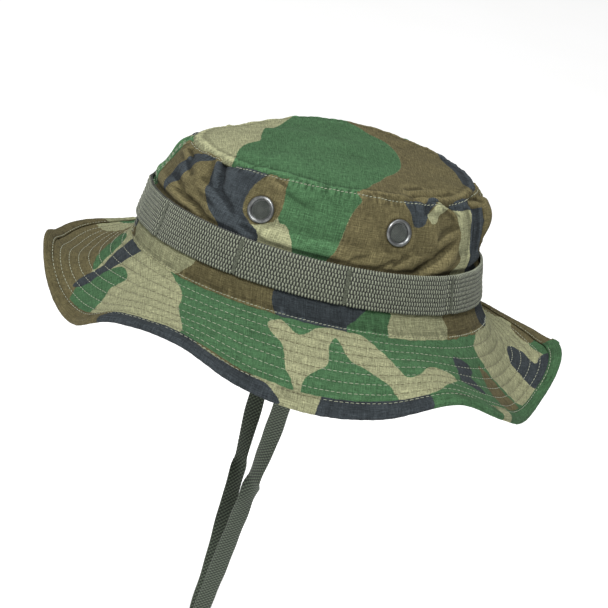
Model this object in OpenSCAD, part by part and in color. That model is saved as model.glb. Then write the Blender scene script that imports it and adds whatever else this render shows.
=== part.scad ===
// Boonie hat: a soft crown of two side panels and a top panel, a stitched wavy brim,
// a webbing band, screened vents and a chin cord with a leather keeper.
// Origin: centre of the head opening, in the plane where crown and brim are sewn together.
// Front is -Y, the wearer's left is +X, up is +Z.

/* [Crown] */
// Half length of the head opening, front to back
opening_half_length = 104; // [100:1:108]
// Half width of the head opening
opening_half_width = 86.5; // [83:0.5:90]
// Thickness of the crown cloth with its turned seams
cloth = 1.2; // [0.8:0.1:1.4]

/* [Brim] */
// Width of the brim, measured along the cloth
brim_width = 57; // [50:1:64]
// Thickness of each of the brim's three layers
brim_layer = 0.6; // [0.4:0.1:0.7]
// Width of the binding round the brim's edge
binding_width = 6.5; // [5:0.5:10]

/* [Bands] */
// Width of the sweatband
sweatband_width = 32; // [28:1:34]
// Width of the tapes over the inside seams
tape_width = 12; // [8:1:14]
// Thickness of the webbing band
webbing = 1.6; // [1.2:0.1:1.8]

/* [Vents] */
// Outer diameter of an eyelet's rim
vent_rim_d = 15; // [13:0.5:16]
// Diameter of the hole through an eyelet
vent_hole_d = 10.6; // [9:0.2:11]

/* [Chin cord] */
// Width of the flat braided cord
cord_w = 10; // [8:1:10]
// Thickness of the cord
cord_t = 2; // [1.5:0.1:2.2]
// Length, width and thickness of the leather keeper
keeper_size = [28, 17, 4];

/* [Hidden] */

FRONT = 270;
BACK = 90;
TURN = 5;      // degrees between two columns of a cloth panel

// Height of the brim's edge, one value every 15 degrees from the wearer's left, by the back
edge_z = [-29, -24, -10, -21, -32, -30, -12, -17, -21, -21, -17, -22,
          -28, -27, -24, -25, -23, -21, -15, -32, -34, -16, -12, -24];
// How far the brim sags like a gutter between seam and edge, one value every 30 degrees
brim_sag = [0, 0, 7, 12, 6, 1, 1, 3, 9, 13, 4, 1];
brim_start = -16;   // height that the brim's slope at the seam would reach at its edge
brim_curl = 1.7;    // how late the brim leaves that slope for its edge height
binding_share = 1 - binding_width / brim_width;

// Height of the top seam, one value every 45 degrees
top_z = [72, 72, 73.5, 76, 74.5, 61.5, 61.5, 66];
top_centre_z = 77;

// The crown's level rings from the brim seam up to the top seam
ring_shrink_length = [0, 4.6, 9.2, 12.2, 16.5, 22.7];
ring_shrink_width = [0, 6.3, 6.9, 10, 14.5, 19.5];
ring_y = [0, -3.3, -4.6, -3.2, -3.2, -3.5];
band_low_z = 13;
band_high_z = 34.5;
shoulder = [0.42, 0.8, 1];
LEVELS = len(ring_y) - 1;

// Where the pieces inside the crown lie, inward from its outer face
tape_in = cloth + 0.3;
tape_t = 0.6;
sweatband_in = tape_in + tape_t + 0.4;
sweatband_t = 1.2;
label_in = sweatband_in + sweatband_t + 0.3;

// Webbing band: outer half length, half width and centre at its lower and upper edges
band_low = [101.5, 82.4, -3.5];
band_high = [97.3, 82.2, -4.7];
bartack_angles = [-63, -28, 8, 50, 130, 172, 208, 243];

// Vents: angle round the crown and level
vents = [[-27, 0.63], [22, 0.68], [207, 0.63], [158, 0.68]];
vent_barrel_wall = 0.7;

// Chin cord, from the wearer's left down to its loop and up to the right
cord_route = [
    [79, -5, -4], [77, -5, -12], [71, -4, -32], [62, -4, -56], [52, -4, -82], [42, -5, -108],
    [33, -6, -134], [24, -7, -158], [16, -8, -182], [10, -9, -202], [7, -10, -218],
    [7, -10, -245], [7, -10, -270], [7, -10, -295], [7, -10, -316],
    [10, -10, -332], [16, -10, -347], [20, -10, -362], [17, -10, -373], [10, -10, -380],
    [0, -10, -383],
    [-10, -10, -380], [-17, -10, -373], [-20, -10, -362], [-16, -10, -347], [-10, -10, -332],
    [-7, -10, -316], [-7, -10, -295], [-7, -10, -270], [-7, -10, -245], [-7, -10, -218],
    [-10, -9, -202], [-16, -8, -182], [-24, -7, -158], [-33, -6, -134], [-43, -5, -108],
    [-52, -4, -82], [-62, -4, -56], [-71, -4, -32], [-77, -5, -12], [-79, -5, -4]];
keeper_at = [0, -10, -228];
keeper_slot = [3.6, 11.8];

// ---- curves and surfaces ----

function mix(a, b, f) = a + (b - a) * f;

// One point of a smooth curve between b and c
function curve(a, b, c, d, f) =
    b + f / 2 * ((c - a) + f * ((2 * a - 5 * b + 4 * c - d) + f * (3 * (b - c) + d - a)));

function turn_pick(v, i) = v[(i % len(v) + len(v)) % len(v)];
function end_pick(v, i) =
    i < 0 ? 2 * v[0] - v[1] : i >= len(v) ? 2 * v[len(v) - 1] - v[len(v) - 2] : v[i];

// Value at angle t of a list spread evenly round the hat
function around(v, t) =
    let (s = t * len(v) / 360, i = floor(s))
    curve(turn_pick(v, i - 1), turn_pick(v, i), turn_pick(v, i + 1), turn_pick(v, i + 2), s - i);

// Value at step s of a list that runs from 0 to its last index
function along(v, s) =
    let (i = min(floor(s), len(v) - 2))
    curve(end_pick(v, i - 1), end_pick(v, i), end_pick(v, i + 1), end_pick(v, i + 2), s - i);

function level_z(top) = concat(
    [0, band_low_z, band_high_z], [for (f = shoulder) mix(band_high_z, top, f)]);

// Crown wall at angle t and level v, from 0 at the brim seam to 1 at the top seam,
// moved inward by the distance in
function wall(t, v, in = 0) =
    let (s = v * LEVELS,
         a = opening_half_length - along(ring_shrink_length, s) - in,
         b = opening_half_width - along(ring_shrink_width, s) - in)
    [b * cos(t), a * sin(t) + along(ring_y, s), along(level_z(around(top_z, t)), s)];

// Brim at angle t and share u of its width, raised by dz
function brim(t, u, dz = 0) =
    let (edge = around(edge_z, t), sag = around(brim_sag, t),
         z = mix(brim_start * u, edge * u, pow(u, brim_curl - 1)) - 4 * sag * u * (1 - u),
         out = [cos(t) / opening_half_width, sin(t) / opening_half_length],
         reach = u * sqrt(pow(brim_width, 2) - edge * edge - 16 / 3 * sag * sag) / norm(out))
    [opening_half_width * cos(t) + out[0] * reach,
     opening_half_length * sin(t) + out[1] * reach, z + dz];

// Top panel at angle t and share r of the way from its centre to the top seam
function top(t, r, dz = 0) =
    let (n = LEVELS, trim = cloth + 0.4,
         a = opening_half_length - ring_shrink_length[n] - trim,
         b = opening_half_width - ring_shrink_width[n] - trim)
    [b * r * cos(t), a * r * sin(t) + ring_y[n],
     mix(top_centre_z, around(top_z, t), r * r) + dz];

// Outward direction of the crown wall
function wall_normal(t, v) =
    let (n = cross(wall(t + 1, v) - wall(t - 1, v), wall(t, v + 0.02) - wall(t, v - 0.02)))
    n / norm(n);

// ---- solids built from grids of points ----

// Two triangles for each cell of a grid with ni columns and nj rows
function cells(ni, nj, start, wrap_i, wrap_j, flip) = [
    for (i = [0 : ni - (wrap_i ? 1 : 2)], j = [0 : nj - (wrap_j ? 1 : 2)])
        let (i2 = (i + 1) % ni, j2 = (j + 1) % nj,
             a = start + i * nj + j, b = start + i * nj + j2,
             c = start + i2 * nj + j2, d = start + i2 * nj + j)
        each (flip ? [[a, c, b], [a, d, c]] : [[a, b, c], [a, c, d]])];

function strip(p, q, flip) = [
    for (k = [0 : len(p) - 2])
        each (flip ? [[p[k], q[k], q[k + 1]], [p[k], q[k + 1], p[k + 1]]]
                   : [[p[k], q[k + 1], q[k]], [p[k], p[k + 1], q[k + 1]]])];

// A sheet between an outer and an inner grid; closed is true for a full turn
module sheet(outer, inner, closed) {
    ni = len(outer);
    nj = len(outer[0]);
    last = closed ? ni : ni - 1;
    columns = [for (i = [0 : last]) i % ni];
    rows = [for (j = [0 : nj - 1]) j];
    inside = ni * nj;
    edges = concat(
        strip([for (i = columns) i * nj], [for (i = columns) inside + i * nj], false),
        strip([for (i = columns) i * nj + nj - 1],
              [for (i = columns) inside + i * nj + nj - 1], true));
    ends = closed ? [] : concat(
        strip([for (j = rows) j], [for (j = rows) inside + j], true),
        strip([for (j = rows) (ni - 1) * nj + j],
              [for (j = rows) inside + (ni - 1) * nj + j], false));
    polyhedron(
        points = concat([for (c = outer) each c], [for (c = inner) each c]),
        faces = concat(cells(ni, nj, 0, closed, false, false),
                       cells(ni, nj, inside, closed, false, true), edges, ends));
}

// A ring swept from one closed section per column
module ring(sections) {
    polyhedron(points = [for (s = sections) each s],
               faces = cells(len(sections), len(sections[0]), 0, true, true, false));
}

// A piece of cloth that follows the crown wall
module wall_piece(t0, t1, v0, v1, in, thick, rows = 6, step = TURN) {
    closed = t1 - t0 == 360;
    columns = round((t1 - t0) / step);
    angles = [for (i = [0 : columns - (closed ? 1 : 0)]) mix(t0, t1, i / columns)];
    levels = [for (j = [0 : rows]) mix(v0, v1, j / rows)];
    sheet([for (t = angles) [for (v = levels) wall(t, v, in)]],
          [for (t = angles) [for (v = levels) wall(t, v, in + thick)]], closed);
}

module brim_sheet(dz, thick) {
    angles = [0 : TURN : 359];
    shares = [0.012, 0.2, 0.4, 0.6, binding_share, 1];
    sheet([for (t = angles) [for (u = shares) brim(t, u, dz)]],
          [for (t = angles) [for (u = shares) brim(t, u, dz + thick)]], true);
}

// Puts a child on the crown wall, with its Z axis pointing straight out
module on_wall(t, v) {
    n = wall_normal(t, v);
    translate(wall(t, v)) rotate([0, acos(n[2]), atan2(n[1], n[0])]) children();
}

// ---- crown ----

module crown_side(t0, places) {
    color("darkolivegreen") difference() {
        wall_piece(t0 + 0.15, t0 + 179.85, 0.005, 0.995, 0, cloth, 12);
        for (p = places)
            on_wall(p[0], p[1])
                cylinder(r = vent_hole_d / 2 + vent_barrel_wall + 0.2, h = 12, center = true);
    }
}

module crown_top() {
    rings = [1, 0.85, 0.7, 0.5, 0.3, 0.12];
    angles = [for (i = [0 : 71]) 360 - i * TURN];
    centre = len(angles) * len(rings) * 2;
    nj = len(rings);
    grid = [for (dz = [0, -cloth]) for (t = angles) for (r = rings) top(t, r, dz)];
    half = len(angles) * nj;
    cap = [for (i = [0 : 71]) let (i2 = (i + 1) % 72)
        each [[i * nj + nj - 1, centre, i2 * nj + nj - 1],
              [half + i * nj + nj - 1, half + i2 * nj + nj - 1, centre + 1]]];
    rim = [for (i = [0 : 71]) let (i2 = (i + 1) % 72)
        each [[i * nj, half + i2 * nj, half + i * nj], [i * nj, i2 * nj, half + i2 * nj]]];
    color("darkgreen") polyhedron(
        points = concat(grid, [top(0, 0), top(0, 0, -cloth)]),
        faces = concat(cells(72, nj, 0, true, false, false),
                       cells(72, nj, half, true, false, true), cap, rim));
}

module crown_top_seam_tape() {
    color("olive") wall_piece(0, 360, 0.80, 0.93, tape_in, tape_t, 2);
}

// The tape over the seam at angle t, between the sweatband and the top seam
module side_seam_tape(t) {
    span = tape_width / 2 / opening_half_width * 180 / PI;
    color("olive") wall_piece(t - span, t + span, 0.03, 0.79, tape_in, tape_t, 10, span / 2);
}

module sweatband() {
    top_level = 2 * sweatband_width / band_high_z / LEVELS;
    color("darkkhaki") wall_piece(0, 360, 0.02, top_level, sweatband_in, sweatband_t, 5);
}

module size_label() {
    color("tan") wall_piece(BACK - 8, BACK + 8, 0.12, 0.28, label_in, 0.5, 3, 4);
}

// ---- brim ----

module brim_upper() {
    color("forestgreen") brim_sheet(brim_layer / 2 + 0.1, brim_layer);
}

module brim_interlining() {
    color("wheat") brim_sheet(-brim_layer / 2, brim_layer);
}

module brim_lower() {
    color("forestgreen") brim_sheet(-1.5 * brim_layer - 0.1, brim_layer);
}

module brim_binding() {
    over = 1.5 * brim_layer + 0.4;
    under = over + 0.5;
    tape = 0.7;
    u = binding_share;
    section = [[u, over], [1.006, over], [1.006, -under], [u, -under], [u, -under - tape],
               [1.012, -under - tape], [1.026, -0.5], [1.026, 0.5], [1.012, over + tape],
               [u, over + tape]];
    color("saddlebrown")
        ring([for (t = [0 : TURN : 359]) [for (p = section) brim(t, p[0], p[1])]]);
}

// ---- webbing band ----

// Point on the band's outer face, f from its lower to its upper edge
function band(t, f, in = 0) =
    let (e = mix(band_low, band_high, f))
    [(e[1] - in) * cos(t), (e[0] - in) * sin(t) + e[2], mix(band_low_z, band_high_z + 0.5, f)];

module foliage_band() {
    angles = [0 : TURN : 359];
    color("dimgray") sheet([for (t = angles) [for (f = [0 : 0.25 : 1]) band(t, f)]],
                           [for (t = angles) [for (f = [0 : 0.25 : 1]) band(t, f, webbing)]], true);
}

module foliage_band_bartacks() {
    color("darkslategray") for (t = bartack_angles) {
        angles = [t - 0.6, t, t + 0.6];
        sheet([for (a = angles) [for (f = [0.06, 0.5, 0.94]) band(a, f, -0.5)]],
              [for (a = angles) [for (f = [0.06, 0.5, 0.94]) band(a, f, -0.1)]], false);
    }
}

// ---- vents ----

module eyelet(place) {
    hole = vent_hole_d / 2;
    rim = vent_rim_d / 2;
    color("slategray") on_wall(place[0], place[1]) rotate_extrude($fn = 48)
        polygon([[hole, -3], [hole + vent_barrel_wall, -3], [hole + vent_barrel_wall, 0.2],
                 [rim, 0.2], [rim, 0.7], [rim - 0.6, 1.3], [hole + 0.7, 1.3], [hole, 0.8]]);
}

module vent_washer(place) {
    color("gray") on_wall(place[0], place[1]) translate([0, 0, -2.8]) difference() {
        cylinder(d = vent_rim_d + 0.6, h = 0.8, $fn = 48);
        translate([0, 0, -1])
            cylinder(r = vent_hole_d / 2 + vent_barrel_wall + 0.1, h = 3, $fn = 48);
    }
}

module vent_screen(place) {
    color("black") on_wall(place[0], place[1]) translate([0, 0, -0.6])
        cylinder(d = vent_hole_d - 0.2, h = 0.5, $fn = 48);
}

// ---- chin cord ----

module cord_anchor(side) {
    color("darkslategray") translate([side * cord_route[0][0], cord_route[0][1], 0.9])
        cube([2.2, 13, 3.4], center = true);
}

// Flat section of the cord at point i of its route
function cord_section(i) =
    let (n = len(cord_route), p = cord_route[i],
         run = cord_route[min(i + 1, n - 1)] - cord_route[max(i - 1, 0)],
         along_cord = run / norm(run),
         flat = [0, 1, 0] - along_cord * along_cord[1],
         across = flat / norm(flat),
         through = cross(along_cord, across),
         w = (i == 0 || i == n - 1) ? cord_w * 0.6 : cord_w)
    [for (k = [0 : 7])
        p + across * (w / 2 * cos(k * 45)) - through * (cord_t / 2 * sin(k * 45) * 1.2)];

module chin_cord() {
    n = len(cord_route);
    ends = [[for (k = [7 : -1 : 0]) k], [for (k = [0 : 7]) (n - 1) * 8 + k]];
    color("darkslategray") polyhedron(
        points = [for (i = [0 : n - 1]) each cord_section(i)],
        faces = concat(cells(n, 8, 0, false, true, false), ends));
}

module cord_keeper() {
    end_r = keeper_size[1] / 2;
    color("black") translate(keeper_at) difference() {
        hull() for (side = [-1, 1])
            translate([side * (keeper_size[0] / 2 - end_r), 0, 0])
                cylinder(r = end_r, h = keeper_size[2], center = true, $fn = 48);
        for (side = [-1, 1])
            translate([side * cord_route[11][0], 0, 0])
                cube([keeper_slot[0], keeper_slot[1], keeper_size[2] + 2], center = true);
    }
}

crown_side(FRONT - 360, [vents[0], vents[1]]);  // crown_side_left
crown_side(BACK, [vents[2], vents[3]]);  // crown_side_right
crown_top();
crown_top_seam_tape();
side_seam_tape(FRONT);  // front_seam_tape
side_seam_tape(BACK);  // back_seam_tape
sweatband();
size_label();
brim_upper();
brim_interlining();
brim_lower();
brim_binding();
foliage_band();
foliage_band_bartacks();
eyelet(vents[0]);  // eyelet_left_front
eyelet(vents[1]);  // eyelet_left_back
eyelet(vents[2]);  // eyelet_right_front
eyelet(vents[3]);  // eyelet_right_back
vent_washer(vents[0]);  // vent_washer_left_front
vent_washer(vents[1]);  // vent_washer_left_back
vent_washer(vents[2]);  // vent_washer_right_front
vent_washer(vents[3]);  // vent_washer_right_back
vent_screen(vents[0]);  // vent_screen_left_front
vent_screen(vents[1]);  // vent_screen_left_back
vent_screen(vents[2]);  // vent_screen_right_front
vent_screen(vents[3]);  // vent_screen_right_back
cord_anchor(1);  // cord_anchor_left
cord_anchor(-1);  // cord_anchor_right
chin_cord();
cord_keeper();
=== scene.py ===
"""Looks of the boonie hat: every cloth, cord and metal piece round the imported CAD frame.

Lengths are in millimetres in the shape functions and turn into metres when a mesh is made.
Angles go round the hat in degrees: 0 is the wearer's left (+X), 90 the back, 270 the front.
"""
import math

import bmesh
import bpy
import numpy as np
from mathutils import Matrix, Vector


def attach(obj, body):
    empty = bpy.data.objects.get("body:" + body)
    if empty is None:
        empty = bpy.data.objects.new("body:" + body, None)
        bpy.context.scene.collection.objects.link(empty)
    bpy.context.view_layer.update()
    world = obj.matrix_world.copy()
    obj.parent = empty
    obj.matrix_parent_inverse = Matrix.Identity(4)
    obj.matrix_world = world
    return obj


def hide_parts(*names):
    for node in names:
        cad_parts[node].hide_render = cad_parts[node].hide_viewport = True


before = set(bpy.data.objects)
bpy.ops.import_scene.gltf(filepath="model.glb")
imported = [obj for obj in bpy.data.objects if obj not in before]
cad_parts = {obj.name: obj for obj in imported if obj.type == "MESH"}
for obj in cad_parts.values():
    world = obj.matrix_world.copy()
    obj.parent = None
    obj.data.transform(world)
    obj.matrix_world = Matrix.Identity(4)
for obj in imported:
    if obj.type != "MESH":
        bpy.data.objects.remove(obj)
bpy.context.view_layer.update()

MM = 0.001
DEG = math.pi / 180


def link(name, data):
    """A new object in the scene."""
    obj = bpy.data.objects.new(name, data)
    bpy.context.scene.collection.objects.link(obj)
    return obj


# ---------------------------------------------------------------- camera

IMAGE_PX = 608
FOCAL_PX = 2626
CAMERA_ANGLES = (82, 18, 15.6)  # azimuth, elevation and roll
CAMERA_TARGET, CAMERA_DISTANCE = (0, 0.0012, -0.0176), 1.5


def make_camera():
    """A long lens from the wearer's left, a little above the brim, tilted with the hat."""
    azimuth, elevation, roll = (math.radians(angle) for angle in CAMERA_ANGLES)
    back = Vector((math.sin(azimuth) * math.cos(elevation),
                   -math.cos(azimuth) * math.cos(elevation), math.sin(elevation)))
    level = (-back).cross(Vector((0, 0, 1))).normalized()
    up = level.cross(-back)
    side = math.cos(roll) * level + math.sin(roll) * up
    top = math.cos(roll) * up - math.sin(roll) * level
    data = bpy.data.cameras.new("camera")
    data.lens = data.sensor_width * FOCAL_PX / IMAGE_PX
    data.clip_end = 20
    camera = link("camera", data)
    turn = Matrix((side, top, back)).transposed().to_4x4()
    place = Vector(CAMERA_TARGET) + back * CAMERA_DISTANCE
    camera.matrix_world = Matrix.Translation(place) @ turn
    bpy.context.scene.camera = camera


make_camera()

# ---------------------------------------------------------------- curves and surfaces


def curve(a, b, c, d, f):
    """One point of a smooth curve between b and c."""
    return b + f / 2 * ((c - a) + f * ((2 * a - 5 * b + 4 * c - d) + f * (3 * (b - c) + d - a)))


def around(values, t):
    """Value at angle t of a list spread evenly round the hat."""
    values = np.asarray(values, float)
    n = len(values)
    s = np.asarray(t, float) * n / 360
    i = np.floor(s).astype(int)
    return curve(*(values[(i + k) % n] for k in (-1, 0, 1, 2)), s - i)


def along(values, s):
    """Value at step s of a list; its items may be numbers or arrays shaped like s."""
    stack = np.stack(np.broadcast_arrays(*values, s)[:-1]).astype(float)
    stack = np.concatenate([2 * stack[:1] - stack[1:2], stack, 2 * stack[-1:] - stack[-2:-1]])
    i = np.clip(np.floor(s).astype(int), 0, len(values) - 2)
    a, b, c, d = (np.take_along_axis(stack, (i + k)[None], 0)[0] for k in range(4))
    return curve(a, b, c, d, s - i)


def mix(a, b, f):
    return a + (b - a) * f


def smooth(low, high, x):
    f = np.clip((x - low) / (high - low), 0, 1)
    return f * f * (3 - 2 * f)


def hump(x, width):
    """1 where x is 0, falling smoothly to nothing on both sides."""
    return np.exp(-(x / width) ** 2)


def turned(t, angle):
    """How far round t is from angle, from -180 to 180."""
    return (np.asarray(t) - angle + 180) % 360 - 180


def unit(v):
    return v / np.maximum(np.linalg.norm(v, axis=-1, keepdims=True), 1e-9)


def stack_xyz(x, y, z):
    return np.stack(np.broadcast_arrays(x, y, z), -1)


OPENING_LENGTH, OPENING_WIDTH = 104, 86.5
BRIM_WIDTH = 57
EDGE_Z = [-29, -24, -10, -21, -32, -30, -12, -17, -21, -21, -17, -22,
          -28, -27, -24, -25, -23, -21, -15, -32, -34, -16, -12, -24]
BRIM_SAG = [0, 0, 7, 12, 6, 1, 1, 3, 9, 13, 4, 1]
BRIM_START, BRIM_CURL = -16, 1.7
TOP_Z = [72, 72, 73.5, 76, 74.5, 61.5, 61.5, 66]
TOP_CENTRE_Z = 77
RING_LENGTH = [104, 99.4, 94.8, 91.8, 87.5, 81.3]
RING_WIDTH = [86.5, 80.2, 79.6, 76.5, 72, 67]
RING_Y = [0, -3.3, -4.6, -3.2, -3.2, -3.5]
BAND_LOW_Z, BAND_HIGH_Z = 13, 34.5
SHOULDER = [0.42, 0.8, 1]
LEVELS = 5
BAND_LOW, BAND_HIGH = (101.5, 82.4, -3.5), (97.3, 82.2, -4.7)
BARTACKS = [-63, -28, 8, 50, 130, 172, 208, 243]
VENTS = {"left_front": (-27, 0.63), "left_back": (22, 0.68),
         "right_front": (207, 0.63), "right_back": (158, 0.68)}
CLOTH = 1.2
SEAM_RISE, SEAM_RISE_AT, SEAM_RISE_WIDTH = 2.6, 72, 13


def seam_rise(t):
    """The top seam rises a little over the bulge at the back left."""
    return SEAM_RISE * hump(turned(t, SEAM_RISE_AT), SEAM_RISE_WIDTH)


def wall(t, v, inward=0):
    """Crown wall at angle t and level v, 0 at the brim seam and 1 at the top seam."""
    s = np.asarray(v, float) * LEVELS
    top = around(TOP_Z, t) + seam_rise(t)
    z = [0 * top, BAND_LOW_Z + 0 * top, BAND_HIGH_Z + 0 * top]
    z += [mix(BAND_HIGH_Z, top, f) for f in SHOULDER]
    t, s, top = np.broadcast_arrays(t, s, top)
    a, b = along(RING_LENGTH, s) - inward, along(RING_WIDTH, s) - inward
    return stack_xyz(b * np.cos(t * DEG), a * np.sin(t * DEG) + along(RING_Y, s), along(z, s))


def brim(t, u, dz=0.0):
    """Brim at angle t and share u of its width, raised by dz."""
    edge, sag = around(EDGE_Z, t), around(BRIM_SAG, t)
    z = mix(BRIM_START * u, edge * u, np.maximum(u, 0) ** (BRIM_CURL - 1)) - 4 * sag * u * (1 - u)
    out_x, out_y = np.cos(t * DEG) / OPENING_WIDTH, np.sin(t * DEG) / OPENING_LENGTH
    reach = u * np.sqrt(BRIM_WIDTH ** 2 - edge ** 2 - 16 / 3 * sag ** 2) / np.hypot(out_x, out_y)
    return stack_xyz(OPENING_WIDTH * np.cos(t * DEG) + out_x * reach,
                     OPENING_LENGTH * np.sin(t * DEG) + out_y * reach, z + dz)


def band(t, f, out=0.0):
    """Outer face of the webbing band, f from its lower to its upper edge."""
    a, b, y = (mix(low, high, f) for low, high in zip(BAND_LOW, BAND_HIGH))
    return stack_xyz((b + out) * np.cos(t * DEG), (a + out) * np.sin(t * DEG) + y,
                     mix(BAND_LOW_Z, BAND_HIGH_Z + 0.5, f))


def top_panel(t, r):
    """Top panel at angle t and share r of the way from its centre to the top seam."""
    a, b = RING_LENGTH[-1] - 0.3, RING_WIDTH[-1] - 0.3
    return stack_xyz(b * r * np.cos(t * DEG), a * r * np.sin(t * DEG) + RING_Y[-1],
                     mix(TOP_CENTRE_Z, around(TOP_Z, t) + seam_rise(t) * r ** 4, r ** 2))


# ---------------------------------------------------------------- creases

MM_PER_DEG, MM_PER_LEVEL = 1.57, 75


def ripple(t, v, longest, count, seed, per_deg=MM_PER_DEG, per_v=MM_PER_LEVEL):
    """Smooth random waves that close round the hat, of wavelengths from longest / 3 to longest."""
    draw = np.random.default_rng(seed)
    total = 0
    for _ in range(count):
        length = longest * draw.uniform(0.33, 1)
        slant = draw.uniform(0, math.pi)
        turns = round(math.cos(slant) * 360 * per_deg / length)
        total = total + np.sin(turns * t * DEG + 2 * math.pi * math.sin(slant) * v * per_v / length
                               + draw.uniform(0, 2 * math.pi))
    return total / math.sqrt(count)


def fold(t, v, start, end, width, depth, bend=0.0):
    """A crease from start to end, in angle and level, depth deep, that fades at its ends.

    One side of it is steep and the other spreads out, and bend curves its line."""
    ax, ay = start[0] * MM_PER_DEG, start[1] * MM_PER_LEVEL
    bx, by = end[0] * MM_PER_DEG - ax, end[1] * MM_PER_LEVEL - ay
    px, py = (turned(t, start[0]) + start[0]) * MM_PER_DEG - ax, np.asarray(v) * MM_PER_LEVEL - ay
    size = math.hypot(bx, by)
    s = (px * bx + py * by) / size ** 2
    side = (px * by - py * bx) / size + bend * 4 * s * (1 - s)
    fade = smooth(-0.12, 0.3, s) * (1 - smooth(0.6, 1.12, s))
    spread = width * np.where(side > 0, 0.7, 1.7)
    valley = np.exp(-np.sqrt((side / spread) ** 2 + 0.09) + 0.3)
    lip = 0.5 * hump(side - 1.9 * width, 1.3 * width)
    return depth * fade * (lip - valley)


# Creases of the crown wall: start, end (angle, level), width, depth and bend
WALL_FOLDS = [
    ((-54.5, 1.04), (-46, 0.66), 1.5, 4.6, 1.2), ((-55, 0.7), (-36, 0.54), 2.2, 2.6, 1.8),
    ((-49, 0.8), (-44, 0.62), 2.0, 1.2, -1.0), ((-68, 0.5), (-43, 0.41), 1.9, 3.0, 1.6),
    ((-61, 0.49), (-47, 0.43), 1.3, 1.5, 0.8), ((-74, 0.6), (-60, 0.5), 2.4, 1.3, 1.5),
    ((-80, 0.9), (-68, 0.83), 2.0, 2.4, 0.8), ((-72, 0.8), (-60, 0.68), 2.8, 1.2, -1.2),
    ((-32, 0.47), (-20, 0.4), 1.9, 1.2, 0.6), ((-27, 0.97), (-20, 0.86), 2.2, 0.7, 0.6),
    ((-22, 0.84), (-7, 0.72), 4.0, 0.7, -1.2), ((6, 0.42), (14, 0.5), 2.0, 0.5, 0.6),
    ((17, 0.4), (24, 0.49), 1.5, 1.1, 0.4), ((22, 0.42), (29, 0.53), 1.8, 1.3, 0.6),
    ((30, 0.38), (50, 0.66), 2.8, 4.2, -2.4), ((33, 0.4), (41, 0.5), 1.6, 1.8, 0.6),
    ((40, 0.66), (52, 0.74), 2.4, 1.6, 1.2), ((44, 1.02), (52, 0.83), 1.6, 3.2, 0.8),
    ((35, 1.0), (33, 0.84), 2.0, 0.8, 0.6), ((61.5, 0.95), (62.5, 0.66), 1.8, 2.4, 1.2),
    ((62.5, 0.68), (62.5, 0.42), 1.8, 2.0, -1.2), ((71, 0.94), (70, 0.45), 2.2, 2.6, 1.4),
    ((76, 0.94), (92, 0.84), 2.4, 1.6, 1.5), ((63, 0.98), (75, 0.86), 2.2, 2.2, 0.8),
    ((72, 0.52), (92, 0.45), 2.4, 1.4, 0.6),
    ((100, 0.98), (112, 0.58), 2.4, 3.0, 2.5), ((118, 0.5), (134, 0.42), 2.4, 2.2, 1.5),
    ((128, 0.78), (142, 0.6), 3.0, 1.8, -1.8), ((150, 0.98), (143, 0.8), 2.4, 2.0, 0.8),
    ((172, 0.94), (188, 0.74), 2.8, 1.6, 1.5), ((176, 0.42), (190, 0.52), 2.6, 1.7, 1.2),
    ((196, 0.44), (216, 0.54), 2.8, 2.2, -1.6), ((228, 1.02), (222, 0.7), 1.9, 3.6, 1.6),
    ((224, 0.62), (240, 0.5), 2.6, 2.2, 1.4), ((238, 0.44), (252, 0.56), 2.2, 2.4, 1.2),
    ((262, 0.96), (268, 0.66), 2.4, 1.8, 1.0), ((250, 0.86), (258, 0.7), 2.6, 1.4, 1.0)]
# Places where the wall stands out, as angle, level, width in mm and height
WALL_BULGES = [(78, 0.74, 11, 4.4), (82, 0.49, 8, -3.6), (57, 0.97, 5, 1.6), (41, 0.97, 5, 2.2),
               (-60, 0.8, 9, 1.2), (-49, 0.68, 5, 1.3), (-44, 0.86, 7, 0.9), (100, 0.6, 14, 1.5),
               (232, 0.85, 10, 1.5), (180, 0.75, 16, 1.2), (300, 0.95, 9, 0.8),
               (255, 0.58, 9, -2.0)]
# The band squeezes the crown: a waist at its upper edge under a soft roll
WAIST_LEVEL, WAIST_DEPTH, WAIST_ROLL = 0.405, 1.5, 0.7
TOP_ROW = 0.986  # level of the stitching along the top seam


def seam_pucker(t, seed):
    """Small uneven gathers along a seam."""
    return ripple(t, 0, 14, 12, seed) * 0.6 + ripple(t, 0, 6, 8, seed + 1) * 0.25


def wall_shape(t, v):
    """How far the wall stands out of its smooth form."""
    d = 0.22 * ripple(t, v, 46, 10, 3)
    for crease in WALL_FOLDS:
        d = d + fold(t, v, *crease)
    for angle, level, width, height in WALL_BULGES:
        d = d + height * np.exp(-((turned(t, angle) * MM_PER_DEG / width) ** 2
                                  + ((v - level) * MM_PER_LEVEL / width) ** 2))
    d = d * smooth(0.32, 0.45, v)
    over = (v - WAIST_LEVEL) * MM_PER_LEVEL
    uneven = 1 + 0.35 * ripple(t, 0, 40, 8, 15)
    d = d - WAIST_DEPTH * uneven * hump(over, 2.0)
    d = d + WAIST_ROLL * uneven * hump(over - 6.5, 4.0)
    d = d + seam_pucker(t, 21) * 0.7 * hump((1 - v) * MM_PER_LEVEL, 6)
    d = d + seam_pucker(t, 31) * 0.5 * hump(v * MM_PER_LEVEL, 5)
    d = d - 0.3 * hump((v - TOP_ROW) * MM_PER_LEVEL, 0.7)
    for angle, level in VENTS.values():
        far = np.hypot(turned(t, angle) * MM_PER_DEG * 0.93, (v - level) * MM_PER_LEVEL * 0.93)
        d = d * smooth(8.0, 12.5, far)
    return d


# ---------------------------------------------------------------- printed cloth

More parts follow.
